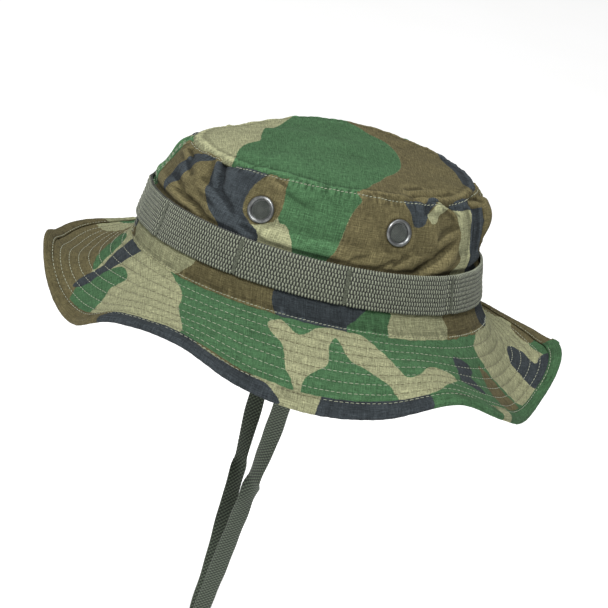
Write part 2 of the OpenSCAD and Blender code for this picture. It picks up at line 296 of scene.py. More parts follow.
# Camouflage: for each colour, closed outlines in the cloth's own directions. On the wall and the
# brim a point is (angle, level or share of width); on the top panel it is (x, y) in mm.
WALL_PRINT = {
    "green": [
        [(-20, 1.06), (8, 1.06), (7, 0.9), (4.5, 0.78), (3, 0.68), (2, 0.5), (1, 0.2), (-12, 0.22),
         (-12, 0.38), (-14, 0.49), (-19, 0.57), (-21, 0.66), (-22, 0.85)],
        [(-78, 0.3), (-78, 0.6), (-78, 0.8), (-84, 1.06), (-98, 1.06), (-104, 0.9), (-112, 0.7),
         (-116, 0.5), (-108, 0.34), (-92, 0.28)],
        [(14, 0.2), (24, 0.2), (23, 0.1), (20.5, -0.03), (6, -0.03), (9, 0.06), (12.5, 0.13)],
        [(-15, 0.17), (-12, 0.14), (-12, 0.09), (-15, 0.1)],
        [(-8, 0.2), (0, 0.2), (-1, 0.14), (-5, 0.13)],
        [(94, 0.3), (112, 0.36), (120, 0.55), (112, 0.75), (100, 0.7), (93, 0.5)],
        [(128, 0.85), (140, 0.7), (154, 0.72), (164, 0.85), (166, 1.06), (126, 1.06)],
        [(150, 0.3), (166, 0.35), (176, 0.5), (170, 0.62), (158, 0.58), (148, 0.45)],
        [(186, 0.7), (200, 0.62), (214, 0.7), (222, 0.9), (218, 1.06), (188, 1.06), (183, 0.85)],
        [(196, 0.05), (216, 0.02), (222, 0.2), (214, 0.42), (200, 0.36)]],
    "brown": [
        [(-84, 0.42), (-86, 0.6), (-84, 0.8), (-88, 0.99), (-54, 1.0), (-50, 0.78), (-45, 0.5),
         (-34, 0.36), (-60, 0.3), (-84, 0.36)],
        [(-34, 1.05), (-23, 1.05), (-21, 0.85), (-20, 0.66), (-23, 0.54), (-34, 0.5), (-38, 0.75)],
        [(8, 1.05), (7, 0.9), (4.5, 0.78), (3, 0.68), (2, 0.5), (1, 0.3), (24, 0.22), (60, 0.3),
         (90, 0.28), (104, 0.5), (99, 0.8), (100, 1.05), (50, 1.06)],
        [(-49, -0.04), (-48, 0.04), (-44, 0.14), (-38, 0.25), (-11.5, 0.25), (-12, -0.04)],
        [(49, 0.22), (48, 0.1), (48, -0.04), (74, -0.04), (76, 0.1), (78, 0.24)],
        [(-92, 0.05), (-83, 0.03), (-84, 0.1), (-92, 0.13)],
        [(118, 0.3), (134, 0.26), (146, 0.4), (142, 0.6), (132, 0.68), (120, 0.6), (124, 0.45)],
        [(170, 0.7), (182, 0.5), (196, 0.42), (210, 0.5), (206, 0.62), (192, 0.66), (184, 0.86),
         (178, 1.06), (168, 1.06)],
        [(216, 0.45), (226, 0.4), (231, 0.6), (228, 0.8), (221, 0.75)],
        [(120, -0.04), (150, -0.04), (152, 0.12), (136, 0.2), (120, 0.14)]],
    "black": [
        [(-52, 1.05), (-32, 1.05), (-31.5, 0.92), (-33, 0.8), (-34, 0.67), (-33, 0.58), (-29, 0.51),
         (-25, 0.46), (-22, 0.34), (-34, 0.3), (-40, 0.42), (-46, 0.5), (-50, 0.6), (-52, 0.75)],
        [(-72, 0.9), (-65, 0.95), (-56, 0.98), (-58, 0.88), (-63, 0.8), (-66, 0.68), (-69, 0.54),
         (-73, 0.42), (-75, 0.52), (-75, 0.66), (-71, 0.78)],
        [(25.5, 1.04), (40, 1.04), (36.5, 0.92), (34, 0.82), (32, 0.75), (28, 0.74), (26.5, 0.86)],
        [(46.5, 1.06), (47, 0.99), (50, 0.93), (54, 0.885), (59.5, 0.86), (59, 0.68), (58.5, 0.58),
         (60, 0.5), (61, 0.42), (61, 0.3), (78, 0.3), (76, 0.44), (70, 0.56), (73, 0.7), (70, 0.82),
         (64, 0.86), (62, 0.93), (62, 1.06)],
        [(-12, 0.25), (-11.5, -0.04), (7, -0.04), (9, 0.05), (13, 0.13), (15, 0.25)],
        [(72, 0.2), (84, 0.22), (88, 0.04), (80, -0.04), (74, 0.02)],
        [(-93, 0.2), (-86, 0.2), (-85, 0.12), (-91, 0.1)],
        [(-100, 1.06), (-108, 0.9), (-114, 0.7), (-124, 0.74), (-120, 1.06)],
        [(104, 0.8), (112, 0.78), (118, 0.9), (120, 1.06), (102, 1.06)],
        [(140, 0.45), (147, 0.5), (152, 0.66), (146, 0.78), (139, 0.66)],
        [(176, 0.25), (186, 0.3), (190, 0.42), (182, 0.5), (174, 0.42)],
        [(208, 0.75), (216, 0.6), (224, 0.55), (226, 0.68), (218, 0.8), (212, 0.92)],
        [(158, -0.04), (178, -0.04), (180, 0.14), (168, 0.2), (158, 0.1)]],
    "tan": [
        [(-26, 0.5), (-22, 0.56), (-17, 0.57), (-14, 0.5), (-12, 0.42), (-11, 0.26), (-22, 0.26),
         (-24, 0.42)],
        [(36, 0.77), (34, 0.84), (36.5, 0.9), (40.5, 1.0), (43, 1.05), (48, 1.02), (45, 0.92),
         (40.5, 0.86), (38.5, 0.79)],
        [(49.5, 0.93), (54, 0.885), (59.5, 0.86), (59, 0.68), (58.5, 0.58), (60, 0.5), (61, 0.42),
         (61, 0.3), (51, 0.3), (51.5, 0.42), (54, 0.5), (51.5, 0.58), (52.5, 0.68), (50.5, 0.8),
         (50, 0.88)]]}
BRIM_PRINT = {
    "green": [
        [(-101, 0.12), (-91, 0.05), (-86, 0.12), (-82, 0.3), (-79, 0.43), (-84, 0.44), (-90, 0.34),
         (-97, 0.24)],
        [(-75, 0.42), (-71, 0.25), (-66, 0.25), (-62, 0.33), (-63, 0.5), (-60.5, 0.64),
         (-58.5, 0.82), (-57, 1.05), (-70, 1.05), (-74, 0.76)],
        [(-50, -0.05), (-48.5, 0.05), (-44, 0.12), (-40, 0.24), (-37.5, 0.42), (-34, 0.6),
         (-31, 0.8), (-30, 1.06), (-11, 1.06), (-4.5, 0.93), (-5, 0.78), (-7, 0.66), (-8, 0.5),
         (-9.5, 0.38), (-13, 0.27), (-14.5, 0.15), (-11.5, 0.06), (-9, 0.12), (-6.5, 0.2),
         (-4, 0.19), (-1.5, 0.08), (-0.5, -0.05)],
        [(3.2, 0.42), (3.2, 0.27), (4.7, 0.15), (6.2, 0.2), (8.5, 0.4), (12.5, 0.5), (16, 0.62),
         (18, 0.74), (17.5, 1.06), (-1.5, 1.06), (-2.5, 0.86), (-2, 0.71), (0.5, 0.6), (2.8, 0.52)],
        [(13, -0.05), (14.5, 0.07), (17, 0.19), (19.5, 0.34), (21, 0.48), (22.5, 0.6), (26, 0.55),
         (30, 0.43), (34, 0.45), (37, 0.57), (32, 0.7), (27, 0.84), (23, 0.9), (23, 1.06),
         (66, 1.06), (65, 0.78), (63.5, 0.6), (61, 0.45), (59.5, 0.3), (58.5, 0.12), (62, -0.05)],
        [(104, 0.84), (99, 0.76), (94, 0.8), (90.5, 0.86), (86, 1.06), (110, 1.06)],
        [(129, 0.1), (136, 0.06), (146, 0.2), (152, 0.42), (146, 0.6), (138, 0.55), (133, 0.4),
         (128, 0.3)],
        [(150, 0.7), (160, 0.55), (172, 0.5), (184, 0.62), (190, 0.8), (186, 1.06), (148, 1.06)],
        [(196, 0.05), (210, 0.0), (216, 0.2), (212, 0.45), (204, 0.6), (196, 0.45), (192, 0.25)],
        [(214, 0.7), (222, 0.62), (228, 0.75), (226, 1.06), (212, 1.06)],
        [(160, -0.05), (176, -0.05), (178, 0.12), (170, 0.25), (162, 0.18)]],
    "brown": [
        [(-113, 0.12), (-102, 0.14), (-92, 0.3), (-82, 0.42), (-77, 0.52), (-73.5, 0.73),
         (-69, 0.9), (-66, 1.06), (-119, 1.06), (-119, 0.6), (-116, 0.3)],
        [(55.5, 0.3), (59, 0.42), (61, 0.54), (62.5, 0.68), (64, 0.84), (60, 0.93), (54, 0.86),
         (52, 0.72), (52, 0.58), (53.5, 0.44)],
        [(120, 1.0), (112, 0.8), (105, 0.74), (101.5, 0.8), (104, 0.9), (112, 1.0)],
        [(126, 0.6), (136, 0.7), (144, 0.85), (142, 1.06), (122, 1.06), (121, 0.8)],
        [(146, 0.1), (158, 0.25), (164, 0.4), (156, 0.52), (151, 0.4), (145, 0.25)],
        [(178, 0.3), (190, 0.3), (198, 0.5), (204, 0.7), (208, 0.95), (202, 1.06), (190, 1.06),
         (192, 0.75), (184, 0.55), (177, 0.45)],
        [(218, 0.1), (226, 0.15), (229, 0.35), (222, 0.5), (217, 0.35)]],
    "black": [
        [(-82, -0.06), (-83, 0.16), (-79, 0.34), (-78, 0.58), (-75, 0.75), (-73, 0.62), (-74, 0.42),
         (-73, 0.22), (-71, -0.06)],
        [(44, 0.2), (48.5, 0.27), (48.5, 0.38), (45.5, 0.47), (46.5, 0.56), (47, 0.68), (42, 0.62),
         (39, 0.55), (41, 0.4), (42, 0.3)],
        [(91, 0.38), (86, 0.37), (82, 0.45), (80.5, 0.6), (78.5, 0.78), (79, 0.9), (91, 0.9),
         (90.5, 0.79), (87, 0.75), (89.5, 0.66), (93.5, 0.58), (94.5, 0.46)],
        [(136, -0.05), (142, 0.1), (148, 0.2), (150, 0.32), (143, 0.25), (136, 0.15), (132, -0.05)],
        [(168, 0.25), (174, 0.3), (176, 0.5), (172, 0.66), (166, 0.6), (167, 0.42)],
        [(186, 0.0), (192, 0.08), (190, 0.25), (184, 0.35), (181, 0.2)],
        [(206, 0.3), (214, 0.42), (220, 0.6), (216, 0.72), (209, 0.6), (204, 0.45)]],
    "tan": []}
TOP_PRINT = {
    "green": [
        [(-75, -18), (-45, -33), (-25, -43), (-5, -47), (6, -48), (12, -53), (20, -58), (38, -62),
         (72, -62), (75, 8), (56, 11), (45, 17), (36, 21), (25, 27), (8, 32), (-12, 32), (-35, 26),
         (-52, 14), (-75, 6)]],
    "brown": [
        [(-75, 6), (-52, 14), (-35, 26), (-12, 32), (8, 32), (25, 27), (36, 21), (45, 17), (56, 11),
         (75, 8), (75, 95), (-75, 95)]],
    "black": [
        [(-75, 46), (-48, 55), (-22, 62), (-2, 67), (14, 70), (24, 76), (28, 95), (-75, 95)],
        [(48, 47), (58, 44), (64, 56), (52, 60)]],
    "tan": []}
BINDING_PRINT = {
    "green": [[(22, 0.6), (23, 0.9), (24, 1.2), (46, 1.2), (44, 0.94), (40, 0.6)],
              [(53, 0.6), (51, 0.9), (53, 1.2), (102, 1.2), (104, 0.6)],
              [(150, 0.6), (152, 1.2), (176, 1.2), (172, 0.6)]],
    "brown": [[(-124, 0.6), (-122, 1.2), (-50, 1.2), (-44, 0.6)],
              [(-24, 0.6), (-27, 0.89), (-19, 0.91), (-13, 0.88), (-12, 0.6)],
              [(104, 0.6), (102, 1.2), (142, 1.2), (145, 0.6)]],
    "black": [[(-46, 0.6), (-48, 0.9), (-47, 1.2), (-6, 1.2), (-9, 0.96), (-14, 0.9), (-26, 0.92),
               (-29, 0.6)],
              [(5, 0.6), (2, 0.9), (3, 1.2), (23, 1.2), (22, 0.6)],
              [(178, 0.6), (180, 1.2), (210, 1.2), (206, 0.6)]],
    "tan": []}
COLOURS = ("green", "brown", "black", "tan")


def outline(points):
    """A smooth closed curve through the points."""
    points = np.array(points, float)
    steps = np.arange(0, len(points), 1 / 6)
    i = np.floor(steps).astype(int)
    n = len(points)
    f = (steps - i)[:, None]
    return curve(points[i - 1], points[i % n], points[(i + 1) % n], points[(i + 2) % n], f)


def outline_distance(p, loop):
    """Distance of points p from a closed loop, negative inside it."""
    a, b = loop, np.roll(loop, -1, 0)
    d = b - a
    best = np.full(len(p), 1e9)
    inside = np.zeros(len(p), bool)
    for (ax, ay), (bx, by), (dx, dy) in zip(a, b, d):
        px, py = p[:, 0] - ax, p[:, 1] - ay
        s = np.clip((px * dx + py * dy) / max(dx * dx + dy * dy, 1e-9), 0, 1)
        best = np.minimum(best, (px - s * dx) ** 2 + (py - s * dy) ** 2)
        if ay != by:
            cross = (ay > p[:, 1]) != (by > p[:, 1])
            inside ^= cross & (p[:, 0] < ax + dx * (p[:, 1] - ay) / (by - ay))
    best = np.sqrt(best)
    return np.where(inside, -best, best)


REACH, WOBBLE, FAR_BEND = 9.0, 0.1, 4.5


def print_fields(x, y, blobs, scale):
    """For each colour, the distance in mm to the nearest edge of its blobs, negative inside."""
    shape = x.shape
    p = np.stack([x.ravel() * scale[0], y.ravel() * scale[1]], 1)
    wave = np.stack([np.sin(p[:, 1] * 1.7 + 2 * np.sin(p[:, 0] * 0.9)),
                     np.sin(p[:, 0] * 1.9 + 2 * np.sin(p[:, 1] * 0.8))], 1)
    p = p + WOBBLE * wave
    # On the far side the blobs are bent out of shape
    far = (smooth(102, 124, x) * (1 - smooth(212, 228, x))).reshape(-1, 1)
    bend = np.stack([np.sin(p[:, 1] / 7 + 1.4 * np.sin(p[:, 0] / 12)),
                     np.sin(p[:, 0] / 8 + 1.5 * np.sin(p[:, 1] / 10))], 1)
    p = p + FAR_BEND * far * bend
    fields = []
    for colour in COLOURS:
        field = np.full(len(p), REACH)
        for points in blobs[colour]:
            loop = outline(points) * np.array(scale)
            low, high = loop.min(0) - REACH, loop.max(0) + REACH
            close = ((p > low) & (p < high)).all(1)
            if close.any():
                field[close] = np.minimum(field[close], outline_distance(p[close], loop))
        fields.append(np.clip(field, -REACH, REACH).reshape(shape))
    return np.stack(fields, -1)


def all_round(t):
    """Angles as the print outlines count them, from -128 to 232."""
    return (np.asarray(t) + 128) % 360 - 128


def wall_print(t, v):
    return print_fields(all_round(t), v, WALL_PRINT, (MM_PER_DEG, MM_PER_LEVEL))


def brim_print(t, u, top):
    """The brim's lower layer has the same print turned another way."""
    return print_fields(all_round(t if top else 205 - t), u, BRIM_PRINT, (2.05, BRIM_WIDTH))


def binding_print(t, u):
    return print_fields(all_round(t), np.clip(u, 0.6, 1.06), BINDING_PRINT, (2.4, BRIM_WIDTH))


# ---------------------------------------------------------------- meshes


def add_object(name, verts, faces):
    """A smooth-shaded mesh from points in mm and an array of four-cornered faces."""
    mesh = bpy.data.meshes.new(name)
    mesh.vertices.add(len(verts))
    mesh.vertices.foreach_set("co", (np.asarray(verts, np.float32) * MM).ravel())
    mesh.loops.add(faces.size)
    mesh.loops.foreach_set("vertex_index", faces.ravel().astype(np.int32))
    mesh.polygons.add(len(faces))
    mesh.polygons.foreach_set("loop_start", np.arange(0, faces.size, 4, dtype=np.int32))
    mesh.polygons.foreach_set("use_smooth", np.ones(len(faces), bool))
    mesh.update(calc_edges=True)
    mesh.validate()
    return link(name, mesh)


def set_vector(obj, name, values):
    layer = obj.data.attributes.new(name, "FLOAT_VECTOR", "POINT")
    layer.data.foreach_set("vector", np.ascontiguousarray(values, np.float32).ravel())


def set_print(obj, fields, back):
    """Stores the print's distances, then whether a point is on the cloth's back, and its painted shade and
    light with wear.
    """
    set_vector(obj, "print", fields[:, :3])
    set_vector(obj, "print_more", np.stack([fields[:, 3], back, back * 0], 1))


# Columns of print_more: whether a point is on the cloth's back, and its painted shade and light with wear
BACK, PAINTED_SHADE_AND_WEAR = 1, 2


def set_more(obj, column, values):
    """Changes the BACK column or the column of painted shade and light with wear, of what set_print stored.
    """
    layer = obj.data.attributes["print_more"]
    stored = np.zeros(len(obj.data.vertices) * 3, np.float32)
    layer.data.foreach_get("vector", stored)
    stored[column::3] = values
    layer.data.foreach_set("vector", stored)


def set_uv(obj, uv):
    """Gives each face corner its cloth coordinates, from mm."""
    layer = obj.data.uv_layers.new(name="cloth")
    layer.data.foreach_set("uv", (uv * MM).astype(np.float32).ravel())


def grid_quads(ni, nj, closed_i, closed_j):
    """Faces of a grid of ni by nj points, as rows and columns of cells."""
    i, j = np.indices((ni if closed_i else ni - 1, nj if closed_j else nj - 1))
    i2, j2 = (i + 1) % ni, (j + 1) % nj
    return np.stack([i * nj + j, i2 * nj + j, i2 * nj + j2, i * nj + j2], -1)


def tube_quads(ni, sides):
    """Faces of an open tube of ni sections."""
    return grid_quads(ni, sides, False, True).reshape(-1, 4)[:, [0, 3, 2, 1]]


def cell_corners(rows, columns):
    """Places (i, j) of the four corners of each cell of a grid."""
    i, j = np.indices((rows, columns))
    return np.stack([np.stack([i + a, j + b], -1) for a, b in ((0, 0), (1, 0), (1, 1), (0, 1))], -2)


def shell(name, outer, inner, uv, closed=False, fields=None, keep=None):
    """A sheet of cloth between two grids of points, open where keep is false.

    uv is the cloth's own flat coordinates in mm; a closed sheet's uv has one more column.
    fields are the print's distances for each grid point."""
    ni, nj = outer.shape[:2]
    inside = ni * nj
    quads = grid_quads(ni, nj, closed, False)
    rows, columns = quads.shape[:2]
    i, j = np.indices((rows, columns))
    if keep is None:
        keep = np.ones((rows, columns), bool)
    near, near_uv = quads[keep], cell_corners(rows, columns)[keep]
    sides, side_uv = [], []
    for di, dj, first, second in ((0, -1, 0, 1), (1, 0, 1, 2), (0, 1, 2, 3), (-1, 0, 3, 0)):
        i2, j2 = i + di, j + dj
        if closed:
            i2 = i2 % rows
        valid = (i2 >= 0) & (i2 < rows) & (j2 >= 0) & (j2 < columns)
        beyond = np.zeros_like(keep)
        beyond[valid] = keep[i2[valid], j2[valid]]
        border = keep & ~beyond
        a, b = quads[border][:, first], quads[border][:, second]
        sides.append(np.stack([b, a, a + inside, b + inside], 1))
        side_uv.append(np.repeat(np.stack([i, j], -1)[border][:, None], 4, 1))
    faces = np.concatenate([near, near[:, ::-1] + inside] + sides)
    verts = np.concatenate([outer.reshape(-1, 3), inner.reshape(-1, 3)])
    used = np.unique(faces)
    renumber = np.full(len(verts), -1)
    renumber[used] = np.arange(len(used))
    obj = add_object(name, verts[used], renumber[faces])
    places = np.concatenate([near_uv, near_uv[:, ::-1]] + side_uv)
    set_uv(obj, uv[places[..., 0], places[..., 1]])
    if fields is not None:
        both = np.concatenate([fields.reshape(-1, 4)] * 2)[used]
        set_print(obj, both, (used >= inside).astype(float))
    return obj


def ring(name, sections, uv, fields):
    """A printed tube that closes both ways, from one closed section per column."""
    ni, nj = sections.shape[:2]
    quads = grid_quads(ni, nj, True, True).reshape(-1, 4)
    obj = add_object(name, sections.reshape(-1, 3), quads)
    places = cell_corners(ni, nj)
    set_uv(obj, uv[places[..., 0], places[..., 1]])
    set_print(obj, fields.reshape(-1, 4), np.zeros(ni * nj))
    return obj


def sample(points, place, at):
    """Points at the distances at, along a line whose own points are at the distances place."""
    return np.stack([np.interp(at, place, points[:, k]) for k in range(3)], 1)


STITCH_RINGS = np.array([-0.5, -0.4, -0.15, 0.15, 0.4, 0.5])
STITCH_WIDTHS = np.array([0.3, 0.85, 1.0, 1.0, 0.85, 0.3])
STITCH_SIDES = 6


def stitch_faces():
    """Faces of one stitch: its sides and two caps."""
    side = grid_quads(len(STITCH_RINGS), STITCH_SIDES, False, True).reshape(-1, 4)
    caps = np.array([[3, 2, 1, 0], [5, 4, 3, 0], [0, 1, 2, 3], [0, 3, 4, 5]])
    caps[2:] += (len(STITCH_RINGS) - 1) * STITCH_SIDES
    return np.concatenate([side, caps])[:, ::-1]


def stitches(name, rows, pitch, length, width, height, slant=0.0, sink=0.05):
    """Rows of sewn stitches. A row is (points, normals, tones) along the line that they follow."""
    verts, faces, tones, start = [], [], [], 0
    draw = np.random.default_rng(len(name))
    one, per_stitch = stitch_faces(), len(STITCH_RINGS) * STITCH_SIDES
    angle = np.arange(STITCH_SIDES) * 2 * math.pi / STITCH_SIDES
    aside_of = STITCH_WIDTHS[:, None] * np.cos(angle) * width / 2
    up_of = STITCH_WIDTHS[:, None] * np.sin(angle) * height / 2
    arch = height * 0.35 * (1 - (2 * STITCH_RINGS) ** 2)
    for points, outward, tone in rows:
        step = np.linalg.norm(np.diff(points, axis=0), axis=1)
        place = np.concatenate([[0], np.cumsum(step)])
        count = max(int(place[-1] / pitch), 1)
        at = (np.arange(count) + 0.5) * place[-1] / count + draw.normal(0, 0.05, count)
        centre = sample(points, place, at)
        run = unit(sample(points, place, at + 0.4) - sample(points, place, at - 0.4))
        across = unit(np.cross(sample(outward, place, at), run))
        up = np.cross(run, across)
        tilt = slant + draw.normal(0, 0.06, count)
        lean = run * np.cos(tilt)[:, None] + across * np.sin(tilt)[:, None]
        aside = np.cross(up, lean)
        size = length * draw.uniform(0.92, 1.06, count)
        reach = STITCH_RINGS[None, :, None] * size[:, None, None]
        p = (centre[:, None, None] + up[:, None, None] * (arch - sink)[None, :, None, None]
             + lean[:, None, None] * reach[..., None]
             + aside[:, None, None] * aside_of[None, ..., None]
             + up[:, None, None] * up_of[None, ..., None])
        verts.append(p.reshape(-1, 3))
        offset = start + np.arange(count)[:, None, None] * per_stitch
        faces.append((one[None] + offset).reshape(-1, 4))
        shade = np.interp(at, place, tone) + draw.normal(0, 0.07, count)
        tones.append(np.repeat(shade, per_stitch))
        start += count * per_stitch
    obj = add_object(name, np.concatenate(verts), np.concatenate(faces))
    tones = np.concatenate(tones)
    set_vector(obj, "tone", np.stack([tones, tones * 0, tones * 0], 1))
    return obj


# ---------------------------------------------------------------- materials


def srgb(*levels):
    """A colour given as 0 to 255 display levels."""
    c = np.array(levels) / 255
    c = np.where(c <= 0.04045, c / 12.92, ((c + 0.055) / 1.055) ** 2.4)
    return (*c, 1.0)


class Finish:
    """A material and short calls for its nodes. Cloth coordinates are in metres."""

    def __init__(self, name, roughness, specular, metallic=0.0, sheen=0.0):
        self.material = bpy.data.materials.new(name)
        self.material.use_nodes = True
        self.tree = self.material.node_tree
        self.shader = next(n for n in self.tree.nodes if n.type == "BSDF_PRINCIPLED")
        for socket, value in (("Roughness", roughness), ("Specular IOR Level", specular),
                              ("Metallic", metallic), ("Sheen Weight", sheen),
                              ("Sheen Roughness", 0.5)):
            self.shader.inputs[socket].default_value = value

    def node(self, kind, *inputs, **settings):
        made = self.tree.nodes.new(kind)
        for key, value in settings.items():
            setattr(made, key, value)
        for key, value in inputs:
            if isinstance(value, bpy.types.NodeSocket):
                self.tree.links.new(value, made.inputs[key])
            else:
                made.inputs[key].default_value = value
        return made

    def math(self, operation, *values):
        return self.node("ShaderNodeMath", *enumerate(values), operation=operation).outputs[0]

    def times(self, a, b):
        return self.math("MULTIPLY", a, b)

    def plus(self, a, b):
        return self.math("ADD", a, b)

    def ramp(self, value, low, high, start=0.0, end=1.0, kind="SMOOTHSTEP"):
        """The value taken from between low and high to between start and end, eased at both."""
        node = self.node("ShaderNodeMapRange", ("Value", value), ("From Min", low),
                         ("From Max", high), ("To Min", start), ("To Max", end),
                         interpolation_type=kind)
        return node.outputs[0]

    def line(self, value, low, high, start=0.0, end=1.0):
        """The same without easing."""
        return self.ramp(value, low, high, start, end, "LINEAR")

    def mix(self, factor, a, b, blend="MIX"):
        node = self.node("ShaderNodeMix", (0, factor), (6, a), (7, b), data_type="RGBA",
                         blend_type=blend)
        return node.outputs[2]

    def tinted(self, colour, amount):
        """The colour made lighter where amount is over 1 and darker where it is under 1."""
        grey = self.node("ShaderNodeCombineColor", (0, amount), (1, amount), (2, amount)).outputs[0]
        return self.mix(1.0, colour, grey, "MULTIPLY")

    def attribute(self, name):
        made = self.node("ShaderNodeAttribute", attribute_name=name)
        return self.node("ShaderNodeSeparateXYZ", (0, made.outputs["Vector"])).outputs

    def cloth(self):
        return self.node("ShaderNodeUVMap", uv_map="cloth").outputs[0]

    def place(self):
        return self.node("ShaderNodeTexCoord").outputs["Object"]

    def split(self, vector):
        return self.node("ShaderNodeSeparateXYZ", (0, vector)).outputs

    def noise(self, vector, scale, detail=2.0, stretch=(1, 1, 1), rough=0.5):
        moved = self.node("ShaderNodeVectorMath", (0, vector), (1, stretch), operation="MULTIPLY")
        node = self.node("ShaderNodeTexNoise", ("Vector", moved.outputs[0]), ("Scale", scale),
                         ("Detail", detail), ("Roughness", rough))
        return node.outputs[0]

    def wave(self, value, pitch, shift=0.0):
        """A cosine from -1 to 1 that repeats every pitch metres."""
        turn = self.math("MULTIPLY_ADD", value, 2 * math.pi / pitch, shift)
        return self.math("COSINE", turn)

    def bump(self, height, distance, strength=1.0, below=None):
        inputs = [("Height", height), ("Distance", distance), ("Strength", strength)]
        if below is not None:
            inputs.append(("Normal", below))
        return self.node("ShaderNodeBump", *inputs).outputs[0]

    def finish(self, colour=None, normal=None, roughness=None):
        for key, value in (("Base Color", colour), ("Normal", normal), ("Roughness", roughness)):
            if isinstance(value, bpy.types.NodeSocket):
                self.tree.links.new(value, self.shader.inputs[key])
            elif value is not None:
                self.shader.inputs[key].default_value = value
        return self.material


TAN, GREEN = srgb(131, 132, 103), srgb(61, 91, 62)
BROWN, BLACK = srgb(86, 80, 56), srgb(49, 54, 57)
PALE_BACK = srgb(112, 113, 92)
YARN = 0.00052
RIPSTOP = 0.0056
# Webbing in mm: rib, dash along it, and the dashes' lean and step aside from rib to rib
RIB, DASH, DASH_LEAN, RIB_SHIFT = 2.4, 1.65, 0.03, 0.34


def yarns(m, uv, pitch=YARN):
    """Height of a plain weave, and its uneven yarns, both about 0 to 1."""
    x, y = m.split(uv)[:2]
    warp, weft = m.wave(x, pitch), m.wave(y, pitch)
    weave = m.line(m.times(warp, weft), -1, 1)
    slubs = m.plus(m.noise(uv, 1.0, 2, (1900, 150, 1)), m.noise(uv, 1.0, 2, (150, 1900, 1)))
    return weave, m.times(slubs, 0.5)


def camouflage(name, light=1.0):
    """Ripstop cotton printed in four colours from the distances stored on the mesh."""
    m = Finish(name, roughness=0.95, specular=0.06, sheen=0.015)
    uv = m.cloth()
    green, brown, black = m.attribute("print")
    tan, back, painted_shade_and_wear = m.attribute("print_more")
    ragged = m.line(m.noise(uv, 1600, 1), 0.2, 0.8, -0.28, 0.28)
    colour = TAN
    for field, ink in ((green, GREEN), (brown, BROWN), (black, BLACK), (tan, TAN)):
        colour = m.mix(m.ramp(m.plus(field, ragged), 0.16, -0.16), colour, ink)
    weave, slubs = yarns(m, uv)
    x, y = m.split(uv)[:2]
    lines = m.math("MAXIMUM", m.ramp(m.wave(x, RIPSTOP), 0.945, 0.99),
                   m.ramp(m.wave(y, RIPSTOP), 0.945, 0.99))
    uneven = m.times(m.line(slubs, 0.36, 0.64, 0.6, 1.42),
                     m.line(m.noise(uv, 1300, 2), 0.28, 0.72, 0.76, 1.26))
    patchy = m.times(m.line(m.noise(uv, 34, 3), 0.3, 0.7, 0.92, 1.07),
                     m.line(m.noise(uv, 420, 2), 0.3, 0.7, 0.9, 1.1))
    shade = m.times(m.times(uneven, patchy), m.line(weave, 0, 1, 0.9, 1.07))
    shade = m.times(shade, m.line(lines, 0, 1, 0.99, 1.17))
    # Painted shade and painted light with wear, stored on the mesh, darken and lighten the cloth; light
    # under 1 darkens all of it as painted shade
    shade = m.times(shade, m.line(painted_shade_and_wear, -1, 1, 0.6 * light, 1.26 * light))
    colour = m.mix(m.times(back, 0.58), colour, PALE_BACK)
    colour = m.tinted(colour, shade)
    height = m.plus(m.times(slubs, 0.7), m.plus(m.times(weave, 0.4), m.times(lines, 0.6)))
    rough = m.line(slubs, 0.3, 0.7, 0.88, 1.0)
    return m.finish(colour, m.bump(height, 0.00022, 0.9), rough)


def plain_cloth(name, colour, twill=False, pitch=YARN * 1.3, sheen=0.15, depth=0.0002):
    """Undyed or dyed cotton in a plain or a twill weave."""
    m = Finish(name, roughness=0.9, specular=0.15, sheen=sheen)
    uv = m.cloth()
    weave, slubs = yarns(m, uv, pitch)
    if twill:
        x, y = m.split(uv)[:2]
        weave = m.line(m.wave(m.plus(x, y), pitch * 2), -1, 1)
    shade = m.times(m.line(slubs, 0.36, 0.64, 0.84, 1.16),
                    m.line(m.noise(uv, 45, 3), 0.3, 0.7, 0.9, 1.08))
    shade = m.times(shade, m.line(weave, 0, 1, 0.88, 1.08))
    height = m.plus(m.times(slubs, 0.6), m.times(weave, 0.7))
    return m.finish(m.tinted(colour, shade), m.bump(height, depth))


def webbing_cloth(name, rib, dash, lean, shift):
    """Narrow woven tape: ribs run along it and its weft shows as rows of short dashes."""
    m = Finish(name, roughness=0.62, specular=0.35, sheen=0.1)
    uv = m.cloth()
    x, y = m.split(uv)[:2]
    uneven = m.noise(uv, 900, 2)
    ribs = m.line(m.wave(y, rib, math.pi), -1, 1)
    row = m.math("MODULO", m.math("FLOOR", m.math("DIVIDE", y, rib)), 2)
    shifted = m.math("MULTIPLY_ADD", row, dash * shift, m.math("MULTIPLY_ADD", y, lean, x))
    dashes = m.ramp(m.wave(shifted, dash), -0.3, 0.85)
    threads = m.line(m.wave(x, 0.00042), -1, 1)
    # The weave's relief is painted into its colour: painted shade in the grooves between ribs and dashes,
    # painted light on the raised dashes
    light = m.times(m.ramp(ribs, -0.12, 0.3), dashes)
    shade = m.plus(m.times(light, 0.8), m.line(uneven, 0.3, 0.7, -0.1, 0.22))
    colour = m.mix(m.line(shade, 0.0, 1.0, 0, 1), srgb(17, 20, 16), srgb(138, 143, 124))
    height = m.plus(m.times(light, 0.3), m.times(threads, 0.15))
    return m.finish(colour, m.bump(height, 0.0002, 0.9), m.line(light, 0, 1, 0.75, 0.6))


